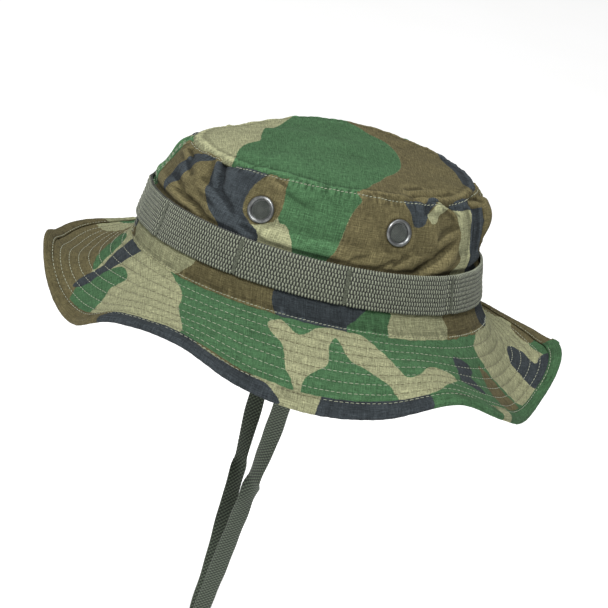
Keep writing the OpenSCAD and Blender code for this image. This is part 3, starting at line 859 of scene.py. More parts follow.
def braid_cloth(name):
    """Braided lace: the strand heights are stored on the mesh and their fibres are in the bump; the heights
    also paint its colour, painted shade where a strand dips under and painted light where it crosses over.
    """
    m = Finish(name, roughness=0.7, specular=0.3, sheen=0.12)
    uv = m.cloth()
    high = m.attribute("strand")[0]
    rough = m.noise(uv, 1400, 2)
    # Painted shade low between the strands, painted light on their crossings
    shade = m.plus(m.times(m.ramp(high, 0.25, 0.95), 0.9),
                   m.line(rough, 0.3, 0.7, -0.1, 0.12))
    colour = m.mix(m.line(shade, 0, 1), srgb(26, 31, 25), srgb(92, 103, 86))
    fibres = m.noise(uv, 1.0, 2, (700, 3500, 1))
    return m.finish(colour, m.bump(fibres, 0.00015), 0.72)


def thread(name, dark, light):
    """Sewing thread, between its light and dark tone by how it shows against the cloth; the dark tone, on
    tan cloth, is painted shade of stitches sunk in it.
    """
    m = Finish(name, roughness=0.6, specular=0.35, sheen=0.1)
    place = m.place()
    tone = m.attribute("tone")[0]
    x, y, z = m.split(place)
    ply = m.wave(m.plus(x, m.plus(y, z)), 0.0006)
    colour = m.mix(m.line(tone, 0, 1), light, dark)
    shade = m.times(m.line(ply, -1, 1, 0.82, 1.12),
                    m.line(m.noise(place, 500, 2), 0.3, 0.7, 0.85, 1.15))
    return m.finish(m.tinted(colour, shade), m.bump(ply, 0.00006))


def metal(name, base, worn, roughness=0.34):
    """Dark plated brass that shows lighter metal where it has rubbed."""
    m = Finish(name, roughness=roughness, specular=0.5, metallic=0.85)
    place = m.place()
    rub = m.ramp(m.noise(place, 260, 4, rough=0.6), 0.45, 0.7)
    colour = m.mix(m.times(rub, 0.5), base, worn)
    fine = m.noise(place, 2600, 3)
    return m.finish(colour, m.bump(fine, 0.00001, 0.4),
                    m.line(fine, 0.3, 0.7, roughness - 0.06, roughness + 0.1))


def leather(name):
    """Dark pebbled leather, shinier on the tops of its grain."""
    m = Finish(name, roughness=0.5, specular=0.45)
    place = m.place()
    cells = m.node("ShaderNodeTexVoronoi", ("Vector", place), ("Scale", 900),
                   feature="DISTANCE_TO_EDGE").outputs["Distance"]
    grain = m.plus(m.ramp(cells, 0.0, 0.16), m.times(m.noise(place, 260, 4), 0.6))
    colour = m.mix(m.ramp(m.noise(place, 160, 3), 0.3, 0.7), srgb(38, 31, 26), srgb(62, 50, 41))
    return m.finish(colour, m.bump(grain, 0.00012, 0.8), m.line(grain, 0.4, 1.5, 0.62, 0.42))


def floor_finish(name):
    """Pale paper that can be looked through from below."""
    m = Finish(name, roughness=0.95, specular=0.1)
    place = m.place()
    colour = m.mix(m.ramp(m.noise(place, 3, 2), 0.3, 0.7), srgb(246, 246, 245), srgb(249, 249, 249))
    m.shader.inputs["Emission Color"].default_value = (1, 1, 1, 1)
    m.shader.inputs["Emission Strength"].default_value = 0.4
    material = m.finish(colour, m.bump(m.noise(place, 900, 2), 0.0001, 0.1))
    tree = material.node_tree
    output = next(node for node in tree.nodes if node.type == "OUTPUT_MATERIAL")
    side, clear, mixed = (tree.nodes.new("ShaderNode" + kind)
                          for kind in ("NewGeometry", "BsdfTransparent", "MixShader"))
    tree.links.new(side.outputs["Backfacing"], mixed.inputs[0])
    tree.links.new(m.shader.outputs[0], mixed.inputs[1])
    tree.links.new(clear.outputs[0], mixed.inputs[2])
    tree.links.new(mixed.outputs[0], output.inputs["Surface"])
    return material


CAMO = camouflage("camouflage_ripstop_cloth")
# The binding is the same printed cloth drawn a tenth darker, painted shade
CAMO_BINDING = camouflage("camouflage_binding_cloth", 0.9)
CANVAS = plain_cloth("interlining_canvas", srgb(164, 159, 140))
SWEATBAND_COTTON = plain_cloth("sweatband_cotton", srgb(72, 77, 56), True)
TAPE_COTTON = plain_cloth("tape_cotton", srgb(78, 83, 62), True)
LABEL_SATIN = plain_cloth("label_satin", srgb(176, 174, 162), pitch=YARN * 0.7, sheen=0.25)
WEBBING = webbing_cloth("webbing_weave", RIB * MM, DASH * MM, DASH_LEAN, RIB_SHIFT)
LACE = braid_cloth("lace_braid")
# Its dark tone is painted shade, for stitches sunk in tan cloth
THREAD = thread("sewing_thread", srgb(80, 76, 50), srgb(150, 154, 134))
OLIVE_THREAD = thread("olive_thread", srgb(72, 76, 63), srgb(92, 97, 82))
GUNMETAL = metal("eyelet_gunmetal", srgb(98, 100, 100), srgb(152, 153, 151), 0.36)
WIRE = metal("screen_wire", srgb(84, 88, 86), srgb(112, 116, 112), 0.42)
LEATHER = leather("keeper_leather")


def dress(obj, material, body="hat", replaces=()):
    """Gives a piece its finish, its body and the CAD nodes that it stands for."""
    obj.data.materials.clear()
    obj.data.materials.append(material)
    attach(obj, body)
    if replaces:
        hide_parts(*replaces)
    return obj


def sew(name, rows, size, material=THREAD, replaces=(), **settings):
    """Stitches as a piece; size is their pitch, length, width and height."""
    obj = stitches(name, rows, *size, **settings)
    return dress(obj, material, replaces=replaces)


# ---------------------------------------------------------------- chin cord

CORD_ROUTE = [
    (79, -5, -4), (77, -5, -12), (71, -4, -32), (62, -4, -56), (52, -4, -82), (42, -5, -108),
    (33, -6, -134), (24, -7, -158), (16, -8, -182), (10, -9, -202), (7, -10, -218),
    (7, -10, -245), (7, -10, -270), (7, -10, -295), (7, -10, -316),
    (10, -10, -332), (16, -10, -347), (20, -10, -362), (17, -10, -373), (10, -10, -380),
    (0, -10, -383),
    (-10, -10, -380), (-17, -10, -373), (-20, -10, -362), (-16, -10, -347), (-10, -10, -332),
    (-7, -10, -316), (-7, -10, -295), (-7, -10, -270), (-7, -10, -245), (-7, -10, -218),
    (-10, -9, -202), (-16, -8, -182), (-24, -7, -158), (-33, -6, -134), (-43, -5, -108),
    (-52, -4, -82), (-62, -4, -56), (-71, -4, -32), (-77, -5, -12), (-79, -5, -4)]
CORD_WIDTH, CORD_THICK = 10, 2
CORD_SIDES = 44
STRAND_PITCH, STRAND_COLUMNS = 2.3, 8


def smooth_route(points, step):
    """Points every step mm on a smooth curve through the route."""
    points = np.array(points, float)
    s = np.linspace(0, len(points) - 1, 4001)
    dense = np.stack([along(list(points[:, k]), s) for k in range(3)], 1)
    run = np.concatenate([[0], np.cumsum(np.linalg.norm(np.diff(dense, axis=0), axis=1))])
    at = np.linspace(0, run[-1], int(run[-1] / step) + 1)
    return sample(dense, run, at), at


def cord_turn(z, near):
    """How far the lace has turned on itself at height z, in degrees, on its near or far strand."""
    pinch = -112 if near else -130
    above, below = hump(z - pinch, 24), hump(z - pinch, 6.5)
    lean = np.where(z > pinch, above, below) * 52
    after = -20 * hump(z - pinch + 17, 9)
    return np.where(z < -206, 0, lean + after) * (1 if near else -1)


def make_cord():
    centre, at = smooth_route(CORD_ROUTE, 0.46)
    run = unit(np.gradient(centre, axis=0))
    flat = unit(np.array([0, 1, 0]) - run * run[:, 1:2])
    z = centre[:, 2]
    turn = np.where(centre[:, 0] > 0, cord_turn(z, True), cord_turn(z, False)) * DEG
    across = flat * np.cos(turn)[:, None] + np.cross(run, flat) * np.sin(turn)[:, None]
    through = np.cross(run, across)
    # A flat section with round edges, its points closer together round the edges
    angle = np.arange(CORD_SIDES) / CORD_SIDES * 2 * math.pi
    w, h = np.cos(angle), np.sin(angle)
    wide = np.sign(w) * np.abs(w) ** 0.8
    thick = np.sign(h) * np.abs(h) ** 0.62
    end = np.minimum(at, at[-1] - at)
    width = CORD_WIDTH * mix(0.62, 1, smooth(0, 12, end)) / 2
    width = width + 0.16 * np.sin(at / 9) + 0.1 * np.sin(at / 3.7)
    # Diamonds of the braid: high where a strand crosses over
    column = wide * STRAND_COLUMNS / 2
    strand = np.cos(2 * math.pi * at / STRAND_PITCH)[:, None] * np.cos(math.pi * column)[None]
    strand = 0.5 + 0.5 * strand
    relief = (strand - 0.5) * 0.42
    bow = 0.35 * np.sin(at / 31)[:, None] * (wide ** 2)[None]
    aside = width[:, None] * wide[None] + 0.25 * relief * np.sign(w)
    raised = (CORD_THICK / 2 - 0.12) * thick[None] + relief * np.sign(h) * np.abs(thick) + bow
    p = centre[:, None] + across[:, None] * aside[..., None] + through[:, None] * raised[..., None]
    # Both ends are closed by faces round a middle point
    n, k = len(centre), np.arange(0, CORD_SIDES, 2)
    k2, last, cap = (k + 2) % CORD_SIDES, (n - 1) * CORD_SIDES, n * CORD_SIDES
    faces = [tube_quads(n, CORD_SIDES), np.stack([np.full(len(k), cap), k2, k + 1, k], 1),
             np.stack([np.full(len(k), cap + 1), last + k, last + k + 1, last + k2], 1)]
    verts = np.concatenate([p.reshape(-1, 3), centre[:1], centre[-1:]])
    obj = add_object("chin_cord_lace", verts, np.concatenate(faces))
    lace_uv = np.stack(np.broadcast_arrays(at[:, None], (wide * width.mean())[None]), -1)
    lace_uv = np.concatenate([lace_uv.reshape(-1, 2), [[0, 0], [0, 0]]])
    index = np.zeros(len(obj.data.loops), np.int32)
    obj.data.loops.foreach_get("vertex_index", index)
    set_uv(obj, lace_uv[index])
    high = np.concatenate([strand.ravel(), [0.3, 0.3]])
    set_vector(obj, "strand", np.stack([high, high * 0, high * 0], 1))
    dress(obj, LACE, "chin_strap", ["chin_cord"])


make_cord()

# ---------------------------------------------------------------- crown

WALL_STEP, TAPE_IN, SWEATBAND_IN, LABEL_IN = 0.8, 1.5, 2.5, 4.0


def wall_out(t, v):
    """Outward normals of the crown wall without its creases."""
    return unit(np.cross(wall(t + 0.5, v) - wall(t - 0.5, v),
                         wall(t, v + 0.01) - wall(t, v - 0.01)))


def wall_at(t, v, inward=0.0, shape=None):
    """Crown wall with its creases, inward of its outer face."""
    d = wall_shape(t, v) if shape is None else shape
    return wall(t, v) + wall_out(t, v) * (d - inward)[..., None]


def grid(t0, t1, v0, v1, step, closed=False):
    """Angles and levels of a grid on the wall, about step mm apart."""
    columns = int(round((t1 - t0) * MM_PER_DEG / step))
    rows = max(int(round((v1 - v0) * MM_PER_LEVEL / step)), 2)
    t = t0 + np.arange(columns + (0 if closed else 1)) * (t1 - t0) / columns
    return np.meshgrid(t, np.linspace(v0, v1, rows + 1), indexing="ij")


def flat_uv(t, v, closed=False):
    if closed:
        step = t[1, 0] - t[0, 0]
        t = np.concatenate([t, t[-1:] + step])
        v = np.concatenate([v, v[:1]])
    return np.stack([t * MM_PER_DEG, v * MM_PER_LEVEL], -1)


def painted_bend_shade(shape, gain):
    """Painted light on high places and painted shade in low ones, from -1 to 1, by how the surface bends.
    """
    bend = (np.roll(shape, 2, 0) + np.roll(shape, -2, 0) - 2 * shape)
    bend = bend + np.gradient(np.gradient(shape, axis=1), axis=1) * 4
    return np.clip(-bend * gain, -1, 1)


def hollow(shape):
    """Shade of places that lie under their surroundings, from -1 to 0, and a little light above."""
    total = 0
    for k in (3, 6):
        near = (np.roll(shape, k, 0) + np.roll(shape, -k, 0)) / 2
        padded = np.pad(shape, ((0, 0), (k, k)), mode="edge")
        near = (near + (padded[:, 2 * k:] + padded[:, :-2 * k]) / 2) / 2
        total = total + (shape - near)
    return np.clip(total * 0.55, -0.9, 0.25)


ROLL_RADIUS, ROLL_ROWS, ROLL_TURN = 1.5, 7, 125
# The cloth's inside gets a share of the painted shade and light of its outside
VENT_HOLE, INSIDE_SHADE_AND_WEAR = 6.5, 0.3


def vent_distance(points, angle, level):
    return np.linalg.norm(points - wall(np.array(angle), np.array(level)), axis=-1)


def shell_used(keep, shape):
    """Which grid points of a shell stay when cells are cut out of it."""
    near = np.zeros(shape, bool)
    for di in (0, 1):
        for dj in (0, 1):
            near[di:shape[0] - 1 + di, dj:shape[1] - 1 + dj] |= keep
    return np.concatenate([near.ravel(), near.ravel()])


def make_crown_side(side, t0):
    places = [VENTS[side + "_front"], VENTS[side + "_back"]]
    t, v = grid(t0 + 0.1, t0 + 179.9, -0.004, 0.992, WALL_STEP)
    # The side seams are sunk, with a flat ridge of folded cloth beside each
    seam = np.minimum(t - t0, t0 + 180 - t) * MM_PER_DEG
    ridge = smooth(0.5, 1.4, seam) * (1 - smooth(6.4, 7.2, seam))
    shape = wall_shape(t, v) - 0.9 * hump(seam, 0.7) + 0.45 * ridge
    shape = shape + 0.55 * hump(v * MM_PER_LEVEL - 1.6, 1.2)
    out = wall_out(t, v)
    outer = wall(t, v) + out * shape[..., None]
    inner = outer - out * CLOTH
    # The top edge folds inward over the seam
    up = outer[:, -1] - outer[:, -3]
    up = unit(up - out[:, -1] * (up * out[:, -1]).sum(-1, keepdims=True))
    centre = outer[:, -1] - out[:, -1] * ROLL_RADIUS
    turns = np.radians(ROLL_TURN * np.arange(1, ROLL_ROWS + 1) / ROLL_ROWS)
    rays = [out[:, -1] * math.cos(turn) + up * math.sin(turn) for turn in turns]
    outer, inner = (
        np.concatenate([face, np.stack([centre + ray * radius for ray in rays], 1)], 1)
        for face, radius in ((outer, ROLL_RADIUS), (inner, ROLL_RADIUS - CLOTH)))
    v = np.concatenate([v, v[:, -1:] + np.arange(1, ROLL_ROWS + 1) * 0.45 / MM_PER_LEVEL], 1)
    t, shape = (np.pad(part, ((0, 0), (0, ROLL_ROWS)), mode="edge") for part in (t, shape))
    # Cut the vent holes
    middle = (outer[1:, 1:] + outer[:-1, :-1]) / 2
    keep = np.ones(middle.shape[:2], bool)
    for place in places:
        keep &= vent_distance(middle, *place) > VENT_HOLE
    obj = shell("crown_side_" + side + "_cloth", outer, inner, flat_uv(t, v),
                fields=wall_print(t, v), keep=keep)
    # Painted shade in creases and hollows and painted light on ridges
    painted_shade_and_wear = painted_bend_shade(shape, 4) + hollow(shape)
    # Painted shadow in a ring round each eyelet
    for place in places:
        painted_shade_and_wear -= 1.4 * hump(vent_distance(outer, *place) - 7.6, 0.6)
    # Painted shade behind the band and just over it, and lighter cloth along the top seam
    painted_shade_and_wear -= 0.5 * (1 - smooth(0.08, 0.26, v)) + 0.4 * hump((v - 0.4) * MM_PER_LEVEL, 2.5)
    painted_shade_and_wear[:, -ROLL_ROWS - 3:-ROLL_ROWS + 3] += 0.25
    painted_shade_and_wear = np.concatenate([painted_shade_and_wear.ravel(), painted_shade_and_wear.ravel() * INSIDE_SHADE_AND_WEAR])
    set_more(obj, PAINTED_SHADE_AND_WEAR, painted_shade_and_wear[shell_used(keep, outer.shape[:2])])
    dress(obj, CAMO, replaces=["crown_side_" + side])


make_crown_side("left", -90)
make_crown_side("right", 90)


def top_shape(t, r):
    """Wrinkles of the top panel."""
    x, y = r * 65 * np.cos(t * DEG), r * 80 * np.sin(t * DEG)
    total = 0
    draw = np.random.default_rng(5)
    for _ in range(14):
        length, way = draw.uniform(14, 60), draw.uniform(0, math.pi)
        total = total + np.sin(2 * math.pi * (x * math.cos(way) + y * math.sin(way)) / length
                               + draw.uniform(0, 6)) * length / 60
    d = 0.26 * total
    for start, end, width, depth in TOP_FOLDS:
        (ax, ay), (bx, by) = start, (end[0] - start[0], end[1] - start[1])
        size = math.hypot(bx, by)
        s = ((x - ax) * bx + (y - ay) * by) / size ** 2
        side = ((x - ax) * by - (y - ay) * bx) / size
        fade = smooth(-0.1, 0.25, s) * (1 - smooth(0.7, 1.1, s))
        d = d + depth * fade * (0.5 * hump(side - 2 * width, width) - hump(side, width))
    edge = (1 - r) * 70
    d = d + seam_pucker(t, 41) * 0.6 * hump(edge, 6) * smooth(0, 2.5, edge)
    return d + 0.5 * hump(edge - 3.0, 1.6)


# Creases of the top panel: start, end (x, y), width and depth
TOP_FOLDS = [((52, 36), (30, 62), 2.6, 3.2), ((44, 34), (33, 45), 2.0, 1.3),
             ((-42, 50), (-28, 34), 4.0, 0.6), ((34, -46), (20, -30), 5.0, 0.4)]


def make_crown_top():
    columns, rows = 560, 72
    t, r = np.meshgrid(360 - np.arange(columns) * 360 / columns, np.linspace(0, 1, rows) ** 0.9,
                       indexing="ij")
    shape = top_shape(t, r)
    # Turned down into the seam at its edge
    edge = (1 - r) * 72
    drop = 1.5 * np.clip(1 - edge / 1.7, 0, 1) ** 2
    smooth_top = top_panel(t, r)
    outer = smooth_top + stack_xyz(0, 0, shape + 0.6 - drop)
    inner = outer - np.array([0, 0, CLOTH])
    uv = smooth_top[..., :2]
    fields = print_fields(uv[..., 0], uv[..., 1], TOP_PRINT, (1, 1))
    obj = shell("crown_top_cloth", outer[::-1], inner[::-1], np.concatenate([uv, uv[:1]])[::-1],
                closed=True, fields=fields[::-1])
    # Painted shade in the wrinkles, painted light on their ridges, and lighter cloth near the edge
    painted_shade_and_wear = (painted_bend_shade(shape, 3) + 0.3 * hump(edge - 1.6, 1.0))[::-1].ravel()
    set_more(obj, PAINTED_SHADE_AND_WEAR, np.concatenate([painted_shade_and_wear, painted_shade_and_wear * INSIDE_SHADE_AND_WEAR]))
    weld(obj)
    dress(obj, CAMO, replaces=["crown_top"])


def weld(obj):
    """Joins the points that share one place, as at the middle of a round panel."""
    bm = bmesh.new()
    bm.from_mesh(obj.data)
    bmesh.ops.remove_doubles(bm, verts=bm.verts, dist=1e-6)
    bmesh.ops.recalc_face_normals(bm, faces=bm.faces)
    bm.to_mesh(obj.data)
    bm.free()


make_crown_top()


def wall_strip(name, material, slot, node, angles, levels, inward, thick, step, ripples):
    """Cloth that lies inside the crown wall."""
    closed = angles[1] - angles[0] == 360
    t, v = grid(*angles, *levels, step, closed)
    shape = wall_shape(t, v)
    wave = ripples * ripple(t, v, 11, 12, 7)
    edge = np.minimum(v - levels[0], levels[1] - v) * MM_PER_LEVEL
    seam = -0.25 * hump(edge - 1.8, 0.6)
    outer = wall_at(t, v, inward, shape)
    inner = wall_at(t, v, inward + thick, shape - wave - seam)
    obj = shell(name, outer, inner, flat_uv(t, v, closed), closed)
    dress(obj, material, replaces=[node])


TAPE = (TAPE_IN, 0.6, 1.2)
for strip in (
        ("top_seam_tape", TAPE_COTTON, "seam_tape", "crown_top_seam_tape",
         (0, 360), (0.80, 0.93), *TAPE, 0.12),
        ("front_tape", TAPE_COTTON, "seam_tape", "front_seam_tape",
         (266, 274), (0.03, 0.79), *TAPE, 0.1),
        ("back_tape", TAPE_COTTON, "seam_tape", "back_seam_tape",
         (86, 94), (0.03, 0.79), *TAPE, 0.1),
        ("sweatband_cloth", SWEATBAND_COTTON, "sweatband_cloth", "sweatband",
         (0, 360), (0.02, 0.371), SWEATBAND_IN, 1.2, 1.2, 0.16),
        ("blank_label", LABEL_SATIN, "label", "size_label",
         (82, 98), (0.12, 0.28), LABEL_IN, 0.5, 0.6, 0.03)):
    wall_strip(*strip)

# ---------------------------------------------------------------- brim

QUILT_FIRST, QUILT_PITCH, QUILT_COUNT = 5.6, 6.6, 7
BRIM_COLUMNS, BRIM_HALF = 720, 0.95
BINDING_SHARE = 1 - 6.5 / BRIM_WIDTH


def brim_uv(t, u):
    """Brim's own flat coordinates in mm, as it was cut, with the first column again at the end."""
    t, u = np.concatenate([t, t[:1] + 360]), np.concatenate([u, u[:1]])
    out_x, out_y = np.cos(t * DEG) / OPENING_WIDTH, np.sin(t * DEG) / OPENING_LENGTH
    size = np.hypot(out_x, out_y)
    return np.stack([OPENING_WIDTH * np.cos(t * DEG) + out_x / size * u * BRIM_WIDTH,
                     OPENING_LENGTH * np.sin(t * DEG) + out_y / size * u * BRIM_WIDTH], -1)


def brim_shape(t, u, top):
    """Quilted relief of a brim layer: sewn valleys with soft ridges between them."""
    seed = 51 if top else 61
    mm = u * BRIM_WIDTH
    row = np.clip(np.round((mm - QUILT_FIRST) / QUILT_PITCH), 0, QUILT_COUNT - 1)
    off = mm - QUILT_FIRST - row * QUILT_PITCH
    valley = hump(off, 0.75)
    puff = 0.07 * np.cos(off / QUILT_PITCH * 2 * math.pi + math.pi)
    gather = 0
    for longest, count, step, depth in ((7, 14, 0, 0.07), (22, 10, 3, 0.12)):
        gather = gather + depth * ripple(t, u, longest, count, seed + step, 2.1, BRIM_WIDTH)
    d = 0.12 + puff - 0.24 * valley + gather * (1 - 0.5 * valley)
    return d - 0.35 * hump(mm, 1.2)


def brim_rows():
    rows = [-0.8, -0.2, 0.4, 1.1, 1.9]
    for k in range(QUILT_COUNT):
        rows += [QUILT_FIRST + k * QUILT_PITCH + f for f in (-0.45, 0, 0.45, 1.4, 3.05, 4.7)]
    rows = [r for r in rows if r < 50.5] + [51.5, 54, 56.6]
    return np.array(rows) / BRIM_WIDTH


def brim_out(t, u):
    n = unit(np.cross(brim(t + 0.4, u) - brim(t - 0.4, u), brim(t, u + 0.01) - brim(t, u - 0.01)))
    return n * np.sign(n[..., 2:])


def brim_face(t, u, top):
    """The brim's upper or lower face, and its outward normals."""
    side = 1 if top else -1
    out = brim_out(t, u) * side
    return brim(t, u, BRIM_HALF * side) + out * brim_shape(t, u, top)[..., None], out


def make_brim(name, node, top):
    angles = np.arange(BRIM_COLUMNS) * 360 / BRIM_COLUMNS
    t, u = np.meshgrid(angles, brim_rows(), indexing="ij")
    sheet = brim_face(t, u, top)[0], brim(t, u, 0.36 if top else -0.36)
    obj = shell(name, *(sheet if top else sheet[::-1]), brim_uv(t, u), True, brim_print(t, u, top))
    # Painted shade in the quilted valleys and painted light on the puffs between them
    painted_shade_and_wear = np.clip((brim_shape(t, u, top) - 0.12) * 0.9, -1, 0.6).ravel()
    set_more(obj, PAINTED_SHADE_AND_WEAR, np.concatenate([painted_shade_and_wear, painted_shade_and_wear]))
    set_more(obj, BACK, 0)
    dress(obj, CAMO, replaces=[node])


make_brim("brim_upper_cloth", "brim_upper", True)
make_brim("brim_lower_cloth", "brim_lower", False)


def make_interlining():
    t, u = np.meshgrid(np.arange(240) * 1.5, np.linspace(0.012, 0.99, 18), indexing="ij")
    obj = shell("brim_interlining_canvas", brim(t, u, 0.28), brim(t, u, -0.28), brim_uv(t, u), True)
    dress(obj, CANVAS, replaces=["brim_interlining"])


make_interlining()

# Half of the binding's section: share of the brim's width and height over its middle
BINDING_TOP = [(0.8862, 1.2), (0.8858, 1.75), (0.8895, 2.05), (0.896, 2), (0.9025, 1.72),
               (0.909, 1.66), (0.9155, 1.85), (0.9269, 2.15), (0.9431, 2.25), (0.9594, 2.2), (0.9756, 2.15),
               (0.9919, 2.1), (1.005, 2), (1.017, 1.65), (1.0255, 1), (1.029, 0.2)]
BINDING_INSIDE = [(0.891, -1.05), (0.94, -1.0), (0.99, -0.9), (0.995, 0.9), (0.94, 1.0),
                  (0.891, 1.05)]
BINDING_JOIN, BINDING_SEAT = 99, 0.906
BINDING_UNDER_TURN = 60  # the print under the brim is from this far round the tape


def make_binding():
    columns = 1000
    top = np.array(BINDING_TOP)
    under = top[::-1] * [1, -1] + [0.0, 0.1]
    section = np.concatenate([top, under, BINDING_INSIDE])
    t, k = np.meshgrid(np.arange(columns) * 360 / columns, np.arange(len(section)), indexing="ij")
    u, z = section[k, 0], section[k, 1]
    face = k < len(top) * 2
    pucker = 0.10 * ripple(t, u, 6, 12, 71, 2.4, 30) + 0.14 * ripple(t, u, 24, 8, 75, 2.4, 30)
    pucker = pucker * np.where(u > 1, 0.4, 1.0)
    seat = hump((u - BINDING_SEAT) * BRIM_WIDTH, 0.8)
    # The end of the tape is folded under and laid over its beginning
    turn = turned(t, BINDING_JOIN)
    lap = smooth(-4.6, -4.2, turn) * (1 - smooth(0.0, 0.25, turn))
    grow = face * (pucker * (1 - 0.5 * seat) + 0.05 + 0.5 * lap)
    p = brim(t, u + face * (u > 1) * (grow * 0.012), z + np.sign(z) * grow)
    length = np.hypot(np.diff(section[:, 0]) * BRIM_WIDTH, np.diff(section[:, 1]))
    length = np.concatenate([[0], np.cumsum(length)])
    length = np.append(length, length[-1] + 1)
    far, wide = np.meshgrid(np.arange(columns + 1) * 360 / columns, length, indexing="ij")
    below = (z < 0) * (u < 0.99) * BINDING_UNDER_TURN
    uv = np.stack([far * 2.5, wide], -1)
    obj = ring("brim_binding_cloth", p, uv, binding_print(t + below, u))
    # Painted light on the puckers, painted shade at the seam and along the inner fold, and lighter worn
    # cloth on the outer edge
    painted_shade_and_wear = np.clip(pucker * 1.6 + 0.35 * (u > 1.01) - 0.5 * seat - 0.5 * (k == 0), -1, 1)
    set_more(obj, PAINTED_SHADE_AND_WEAR, painted_shade_and_wear.ravel())
    dress(obj, CAMO_BINDING, replaces=["brim_binding"])


make_binding()

# ---------------------------------------------------------------- webbing band

BAND_HEIGHT, BAND_MM_PER_DEG = 21.5, 1.61


def weave_relief(t, mm):
    """Height of the webbing's weave, 0 to 1: rounded dashes that step aside from rib to rib."""
    rib = 0.5 - 0.5 * np.cos(2 * math.pi * mm / RIB)
    x = t * BAND_MM_PER_DEG + DASH_LEAN * mm + np.floor(mm / RIB) % 2 * DASH * RIB_SHIFT
    dash = 0.5 + 0.5 * np.cos(2 * math.pi * x / DASH)
    return rib ** 0.35 * (0.2 + 0.8 * dash ** 0.7)


def band_shape(t, f):
    """How far the band stands out of its smooth form: pulled-in tacks, a kink and a slack edge."""
    mm = f * BAND_HEIGHT
    edge = np.minimum(mm, BAND_HEIGHT - mm)
    d = -0.3 * (1 - smooth(0, 0.9, edge))
    for angle in BARTACKS:
        turn = turned(t, angle) * BAND_MM_PER_DEG
        d = d - 0.6 * hump(turn, 2.0) + 0.3 * hump(np.abs(turn) - 5, 3)
    # A kink beside the tack that is nearest the back
    kink = (t - 47.2) * BAND_MM_PER_DEG
    d = d - 1.0 * hump(kink, 1.5) + 0.5 * hump(kink + 5, 3.5)
    slack = ripple(t, f * 0, 60, 8, 81)
    return d + 0.25 * slack * smooth(0.4, 1, f) + 0.15 * ripple(t, f, 26, 8, 85, 1.6, 21)


def band_sink(t):
    """How far the band hangs lower at the front right."""
    return 2.0 * smooth(222, 240, t) * (1 - smooth(258, 268, t))


def make_band(name, start, end, replaces):
    columns = int((end - start) * BAND_MM_PER_DEG / DASH * 5)
    t, f = np.meshgrid(np.linspace(start, end, columns + 1), np.linspace(0, 1, 46),
                       indexing="ij")
    mm = f * BAND_HEIGHT
    shape = band_shape(t, f)
    scallop = 0.22 * np.cos(2 * math.pi * t * BAND_MM_PER_DEG / DASH)
    f_edge = f + (np.where(f == 1, scallop, 0) - np.where(f == 0, scallop, 0)) / BAND_HEIGHT
    outer = band(t, f_edge, shape + 0.5 * (weave_relief(t, mm) - 0.7))
    inner = band(t, f_edge, shape * 0.3 - 1.5)
    for face in (outer, inner):
        face[..., 2] -= band_sink(t)
    obj = shell(name, outer, inner, np.stack([t * BAND_MM_PER_DEG, mm], -1))
    dress(obj, WEBBING, replaces=replaces)


make_band("foliage_band_webbing_left", -28, 172, ["foliage_band"])
make_band("foliage_band_webbing_right", 172, 332, [])


def make_bartacks():
    rows = []
    for angle in BARTACKS:
        f = np.linspace(0.05, 0.95, 40)
        t = np.full(40, float(angle))
        points = band(t, f, band_shape(t, f) + 0.3)
        points[:, 2] -= band_sink(angle)
        out = stack_xyz(np.cos(t * DEG), np.sin(t * DEG), 0 * t)
        rows.append((points, out, 0.25 + 0.2 * np.sin(f * 40)))
    sew("foliage_band_tack_stitches", rows, (0.42, 2.5, 0.42, 0.42), OLIVE_THREAD,
        ["foliage_band_bartacks"], slant=math.radians(84), sink=-0.06)


make_bartacks()

# ---------------------------------------------------------------- vents


def on_wall(angle, level):
    """Frame on the crown wall, its Z axis straight out."""
    out = Vector(wall_out(np.array(angle), np.array(level)))
    across = Vector((-math.sin(angle * DEG), math.cos(angle * DEG), 0))
    across = (across - out * across.dot(out)).normalized()
    up = out.cross(across)
    turn = Matrix((across, up, out)).transposed().to_4x4()
    return Matrix.Translation(Vector(wall(np.array(angle), np.array(level))) * MM) @ turn


def lathe(name, profile, place, sides=72):
    """A closed profile of (radius, height) turned round the Z axis of a place."""
    radius, height = np.array(profile, float).T[:, None]
    angle = np.arange(sides)[:, None] * 2 * math.pi / sides
    p = stack_xyz(radius * np.cos(angle), radius * np.sin(angle), height)
    quads = grid_quads(sides, len(profile), True, True)
    obj = add_object(name, p.reshape(-1, 3), quads.reshape(-1, 4))
    obj.data.transform(place)
    return obj


def rounded(points, radius, steps=4):
    """The closed outline with its corners rounded."""
    points = [np.array(p, float) for p in points]
    result = []
    for k, p in enumerate(points):
        before, after = points[k - 1] - p, points[(k + 1) % len(points)] - p
        r = min(radius, np.linalg.norm(before) * 0.45, np.linalg.norm(after) * 0.45)
        a, b = p + before / np.linalg.norm(before) * r, p + after / np.linalg.norm(after) * r
        for f in np.linspace(0, 1, steps):
            result.append((1 - f) ** 2 * a + 2 * f * (1 - f) * p + f ** 2 * b)
    return result


EYELET = [(5.3, -3), (6.0, -3), (6.0, 0.15), (7.5, 0.15), (7.5, 0.75), (6.95, 1.3), (6.3, 1.38),
          (5.75, 0.95), (5.3, 0.55)]
WASHER = [(6.15, -2.8), (7.8, -2.8), (7.8, -2.0), (6.15, -2.0)]
SCREEN_FRAME = [(4.95, -0.6), (5.2, -0.6), (5.2, -0.05), (4.95, -0.05)]
WIRE_PITCH, WIRE_RADIUS, SCREEN_RADIUS, SCREEN_Z = 0.46, 0.15, 5.12, -0.33


